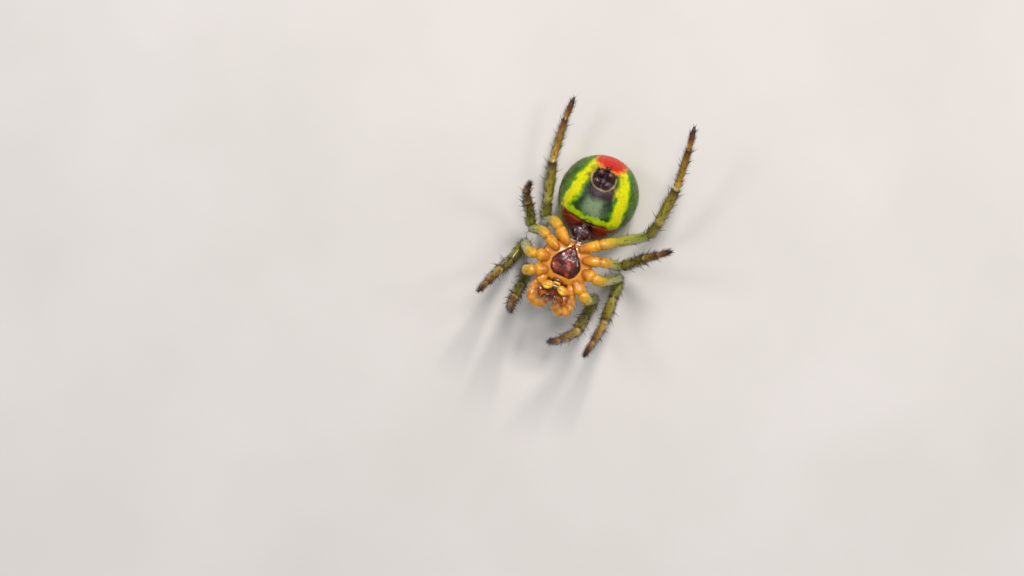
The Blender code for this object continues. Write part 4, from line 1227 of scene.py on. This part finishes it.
def build_palps(look, bristle, hair):
    """Palps of four pieces, each curling to its tip."""
    for number, side in enumerate(SIDES):
        nodes = (f"palp_{side}_femur", f"palp_{side}_tip")
        path = curved_path(PALP_POINTS[side], LIMB_STEP)
        cuts = {"grooves": PALP_GROOVES, "depth": PALP_GROOVE_DEPTH}
        limb = tapered(f"palp_{side}_skin", path, PALP_RADII, UP, look, "amber", nodes, **cuts)
        draw = np.random.default_rng(SEED + 20 + number)
        grow(f"palp_{side}_bristles", limb, bristle, draw, *PALP_BRISTLES, sides=5, steps=4)
        grow(f"palp_{side}_hairs", limb, hair, draw, *PALP_HAIRS)


# Legs

def plan_leg(name):
    """A leg's joints from hip to claws."""
    side, pair = name.split("_")
    pair = int(pair)
    (turn, reach), (azimuth, length, height), rest = POSES[name]
    seat = HIP_AZIMUTHS[pair] if side == "right" else 180 - HIP_AZIMUTHS[pair]
    way = heading(turn)
    edge = sternum_edge(seat)
    hip = edge + way * (FINE_GAP + HIP_RADII[pair])
    shoulder = edge + way * (GAP + reach)
    top = shoulder + way * TROCHANTER_LENGTH
    fall = top[2] - height
    knee = top + heading(azimuth) * math.sqrt(length**2 - fall**2) - UP * fall
    joints = [hip, shoulder, top, knee]
    for (turn, pitch), size in zip(rest, SEGMENTS[pair]):
        joints.append(joints[-1] + heading(turn, pitch) * size)
    return joints


def leg_radii(measures, sizes, pair):
    """Radii along a leg, with a groove and a collar at each joint."""
    stout = STOUTNESS[pair]
    hip, coxa = (radii[pair] - COXA_INSET for radii in (HIP_RADII, COXA_RADII))
    stops = ((0, hip / stout), (0.22, (hip + coxa) / 2 / stout), (0.5, coxa / stout), *LEG_RADII)
    thick = profile(stops, measures)
    femur_start = 2 + TROCHANTER_REACH / sizes[2]
    for joint in (1, femur_start, 3, 4, 5, 6):
        before, after = (sizes[2], sizes[2]) if joint == femur_start else sizes[joint - 1 : joint + 1]
        away = (measures - joint) * np.where(measures < joint, before, after)
        thick *= 1 - GROOVE_DEPTH * hill(away, GROOVE_WIDTH)
        thick *= 1 + COLLAR_RISE * hill(np.abs(away) - COLLAR_PLACE, COLLAR_WIDTH)
    return thick * stout


def build_legs(look, spine, hair, claw):
    """Eight legs, each one skin from hip to claws, with spines, hairs and claws."""
    plans = {name: plan_leg(name) for name in POSES}
    segments = [(name, a, b) for name, joints in plans.items() for a, b in zip(joints, joints[1:])]
    for number, (name, joints) in enumerate(plans.items()):
        path = rounded_path(joints, CORNER_REACHES, LEG_STEP)
        thick = leg_radii(*path[2:], int(name[-1]))
        rings, outs, directions, measures = limb_rings(path, thick, None, LEG_SIDES, LEG_LUMP, number)
        rings[..., 2] = np.maximum(rings[..., 2], LEG_FLOOR)
        along = np.repeat(measures[:, None] / LEG_END, LEG_SIDES, axis=1)
        nodes = [f"leg_{name}_{part}" for part in ("coxa", "femur", "tibia", "foot")]
        skin(f"leg_{name}_skin", rings, look, nodes, {"along": along})
        limb = (rings, outs, directions, measures)
        draw = np.random.default_rng(SEED + 100 + number)

        def clear(tips, own=name):
            """Which tips keep clear of the abdomen and the other legs."""
            free = (((tips - ABDOMEN_MIDDLE) / (ABDOMEN_SIZE / 2 + 0.05)) ** 2).sum(1) > 1
            for other, a, b in segments:
                if other != own:
                    share = np.clip((tips - a) @ (b - a) / ((b - a) @ (b - a)), 0, 1)
                    free &= np.linalg.norm(tips - a - share[:, None] * (b - a), axis=1) > TIP_CLEARANCE
            return free

        spines(name, limb, spine, draw, clear)
        for kind, *values in LEG_HAIRS:
            grow(f"leg_{name}_{kind}", limb, hair, draw, *values, clear=clear)
        claws(name, joints, claw)


def spines(name, limb, look, draw, clear):
    """Spines winding round each segment, each in a small dark socket."""
    rings, outs, directions, measures = limb
    columns = rings.shape[1]
    sockets = []
    for row, ((start, stop), count, length, radius) in enumerate(SPINE_ROWS, 1):
        shares = (np.arange(count) + 0.5 + draw.uniform(-0.2, 0.2, count)) / count
        places = start + shares * (stop - start)
        picks = np.array([int(np.argmin(np.abs(measures - place))) for place in places])
        angles = draw.uniform(0, 360) + np.arange(count) * SPINE_TURN + draw.uniform(-12, 12, count)
        turns = (np.round(angles / 360 * columns).astype(int)) % columns
        part = f"leg_{name}_spines_{row}"
        plant(part, limb, look, draw, picks, turns, length, radius, SPINE_STAND, 6, 5, clear)
        sockets.append((picks, turns))
    picks, turns = np.concatenate(sockets, axis=1)
    high = rings[picks, turns][:, 2] > SOCKET_FLOOR
    picks, turns = picks[high], turns[high]
    out = outs[picks, turns]
    roots = rings[picks, turns] - out * 0.03
    spots = np.column_stack([turns / columns, picks / len(rings)])
    bends = directions[picks]
    strands(f"leg_{name}_sockets", roots, out, bends, *SOCKET_SIZE, spots, look, sides=8, steps=3, curl=0.0)


def claws(name, joints, look):
    """Two comb claws and a smaller hook between them at the foot's end."""
    way = unit(joints[-1] - joints[-2])
    side = unit(np.cross(way, UP))
    under = np.cross(side, way)
    if under[2] > 0:
        under = -under
    tip = joints[-1] + way * 0.03
    roots = [tip + side * 0.025, tip - side * 0.025, tip + under * 0.02]
    aims = [way + side * 0.35 - under * 0.3, way - side * 0.35 - under * 0.3, way * 0.6 + under]
    bends = [under, under, -way]
    lengths, radii = (0.15, 0.15, 0.08), (0.02, 0.02, 0.014)
    spots = [(0.2, 0.95), (0.5, 0.95), (0.8, 0.95)]
    strands(f"leg_{name}_claws", roots, aims, bends, lengths, radii, spots, look, "fang", 8, 6, 0.7)


# The rest of the body

def build_waist(look):
    """The short ringed waist between the shield and the abdomen."""
    count = PEDICEL_RINGS
    girth = [(k / count, PEDICEL_RADIUS * (0.98 - 0.1 * (k % 2))) for k in range(count + 1)]
    path = rounded_path((PEDICEL_FRONT, PEDICEL_REAR), {}, LIMB_STEP)
    tapered("pedicel_skin", path, girth, UP, look, "plate", ("pedicel",))
    cushion("waist_fold", WAIST_FOLD, look)


def build_membrane(look):
    """The soft wall between the sternum, the hips and the shield, and the palps' seats."""
    cushion("body_wall", BODY_WALL, look)
    for side in SIDES:
        cushion(f"palp_seat_{side}", PALP_SEAT, look, side)


def build_spinnerets(look, hair, spigot):
    """Spinnerets of two segments with a crown of spigots, and the tubercle behind them."""
    for number, (name, (x, y, radius, length)) in enumerate(SPINNERETS.items()):
        surface, normal = belly_point(x, y)
        base = surface + normal * FINE_GAP
        shares = np.linspace(*SPINNERET_SPAN)
        thick = radius * profile(SPINNERET_PROFILE, shares)
        rings, outs, sides, ups = turned(base, normal, RIGHT, length * shares, thick)
        rings = rings + outs * (0.01 * ripple(rings, 0.08))[..., None]
        ends = (rings[0].mean(0), base + normal * length * SPINNERET_TIP)
        skin(f"{name}_skin", rings, look, (name,), ends=ends)
        draw = np.random.default_rng(SEED + 300 + number)
        angles = draw.uniform(0, 2 * np.pi, SPIGOT_COUNT)
        reach = radius * 0.5 * np.sqrt(draw.uniform(0, 1, SPIGOT_COUNT))
        crown = np.outer(np.cos(angles) * reach, sides[0]) + np.outer(np.sin(angles) * reach, ups[0])
        roots = base + normal * length * SPIGOT_PLACE + crown
        spots = np.column_stack([angles / 7, reach / radius])
        size = (length * SPIGOT_LENGTH, SPIGOT_RADIUS)
        strands(f"{name}_spigots", roots, normal, normal, *size, spots, spigot, "amber", 6, 2, 0.0)
        limb = (rings, outs, np.repeat([normal], len(shares), 0), np.linspace(0, 1, len(shares)))
        grow(f"{name}_hairs", limb, hair, draw, *SPINNERET_HAIRS)


def build_belly_hair(looks):
    """Short pale and dark hairs over the abdomen, lying to the rear."""
    draw = np.random.default_rng(SEED + 500)
    for name, (count, length, radius) in BELLY_HAIRS.items():
        u = draw.uniform(-0.97, 0.97, count)
        angle = draw.uniform(-np.pi, np.pi, count)
        points = belly_spot(u, angle)
        outward = belly_out(points)
        behind = unit(REAR - outward * outward[:, 1:2])
        aims = outward * 0.62 + behind * 0.75 + draw.normal(scale=0.16, size=(count, 3))
        lengths = length * draw.uniform(0.7, 1.25, count)
        keep = (points[:, 2] + aims[:, 2] * lengths > HAIR_FLOOR) & (points[:, 2] > BELLY_HAIR_FLOOR)
        furry = np.abs(angle) > math.radians(BELLY_BARE_ANGLE)
        keep &= furry | (draw.uniform(0, 1, count) < BELLY_BARE_SHARE)
        spots = np.column_stack([map_place(angle / (2 * np.pi) + 0.5), map_place(u + 1, 2)])
        roots = points - outward * 0.02
        roots, aims, behind, lengths, spots = (v[keep] for v in (roots, aims, behind, lengths, spots))
        strands(f"abdomen_hairs_{name}", roots, aims, behind, lengths, radius, spots, looks[name])


def build_carapace_hair(hair):
    """Fine pale hairs on the shield, lying to the front."""
    draw = np.random.default_rng(SEED + 600)
    roots, aims, spots = [], [], []
    for _ in range(CARAPACE_HAIRS):
        t, angle = draw.uniform(0.03, 0.95), draw.uniform(-82, 82)
        point = carapace_point(t, angle, INSET + 0.01)
        outward = unit(np.array((point[0], 0, point[2] - CARAPACE_FLOOR)))
        roots.append(point)
        aims.append(outward * 0.6 - REAR * 0.7 + draw.normal(scale=0.15, size=3))
        spots.append((map_place(angle + 90, 180), t))
    strands("carapace_hairs", roots, aims, -REAR, *CARAPACE_HAIR_SIZE, spots, hair)


# Studio

def build_floor(look):
    """A plain pale floor."""
    half = FLOOR_HALF * MM
    data = bpy.data.meshes.new("floor")
    corners = [(-half, -half, 0), (half, -half, 0), (half, half, 0), (-half, half, 0)]
    data.from_pydata(corners, [], [(0, 1, 2, 3)])
    data.materials.append(look)
    put("floor", data)


def photo_direction(right, up, out):
    """A direction given across, up and out of the photograph."""
    roll = math.radians(CAMERA_ROLL)
    across = np.array((math.cos(roll), math.sin(roll), 0))
    upward = np.array((-math.sin(roll), math.cos(roll), 0))
    return unit(across * right + upward * up + UP * out)


def build_light(name, way, distance, size, power, code):
    """A soft square lamp that looks at the spider from a direction."""
    lamp = bpy.data.lights.new(name, "AREA")
    lamp.size = size * MM
    lamp.energy = power
    lamp.color = linear(code)[:3]
    thing = put(name, lamp)
    thing.location = (way * distance + (0, 0, 2)) * MM
    thing.rotation_euler = Vector(-way).to_track_quat("-Z", "Y").to_euler()


def build_camera():
    """The photograph's view, turned so that it looks straight down at the belly."""
    lens = bpy.data.cameras.new("camera")
    lens.sensor_width = SENSOR
    lens.lens = SENSOR * CAMERA_DISTANCE / VIEW_WIDTH
    lens.clip_start = MM
    lens.clip_end = 10
    camera = put("camera", lens)
    middle = np.array((*VIEW_MIDDLE, VIEW_LEVEL + CAMERA_DISTANCE)) + SHIFT
    camera.location = middle * MM
    camera.rotation_euler = (0, 0, math.radians(CAMERA_ROLL))
    bpy.context.scene.camera = camera


def build_studio():
    """A white surround, one strong lamp from the photograph's top, a glint lamp and two fills."""
    world = bpy.data.worlds.new("studio")
    world.use_nodes = True
    surround = world.node_tree.nodes["Background"]
    feed(world.node_tree, surround, {"Color": linear("f2f4f6"), "Strength": 0.29})
    bpy.context.scene.world = world
    bpy.context.scene.view_settings.view_transform = "Standard"
    for name, (place, *values) in LAMPS.items():
        build_light(name, photo_direction(*place), *values)


def main():
    """Camera and studio first, then the spider from its body out."""
    build_camera()
    build_studio()
    build_floor(painted_floor())
    amber = limb_cuticle("amber_cuticle", PALP_COLOURS, 5, 0.85, SHINE_ALL)
    clear = limb_cuticle("clear_amber_cuticle", ((0, "ee9c0c"), (1, "f6b818")), 1, 0.95, SHINE_ALL)
    pale = limb_cuticle("pale_amber_cuticle", ((0, "f4bc10"), (1, "f8dc40")), 1, 1.0, SHINE_ALL)
    olive = limb_cuticle("olive_leg_cuticle", LEG_COLOURS, LEG_END, 0.5, 2.0)
    maroon, dark_maroon, shield, red_brown, black_horn, spin_skin, wall = (
        plate_cuticle(name, *values) for name, values in PLATES.items()
    )
    black_spine = hair_keratin("black_spine_cuticle", "0c0806", "241408", 0.3)
    dark_hair = hair_keratin("brown_hair_cuticle", "2c1c10", "5c4424", 0.4)
    pale_hair = hair_keratin("pale_hair_cuticle", "cfc8a8", "f0ead2", 0.35)
    build_abdomen(abdomen_cuticle())
    build_spinnerets(spin_skin, dark_hair, clear)
    build_waist(dark_maroon)
    build_membrane(wall)
    build_carapace(shield)
    build_eyes(eye_lens(), black_horn)
    build_sternum(maroon, dark_hair)
    build_mouth(maroon, clear, pale, red_brown, black_horn, dark_hair)
    build_palps(amber, black_spine, pale_hair)
    build_legs(olive, black_spine, dark_hair, black_horn)
    build_belly_hair({"pale": pale_hair, "dark": dark_hair})
    build_carapace_hair(pale_hair)


main()
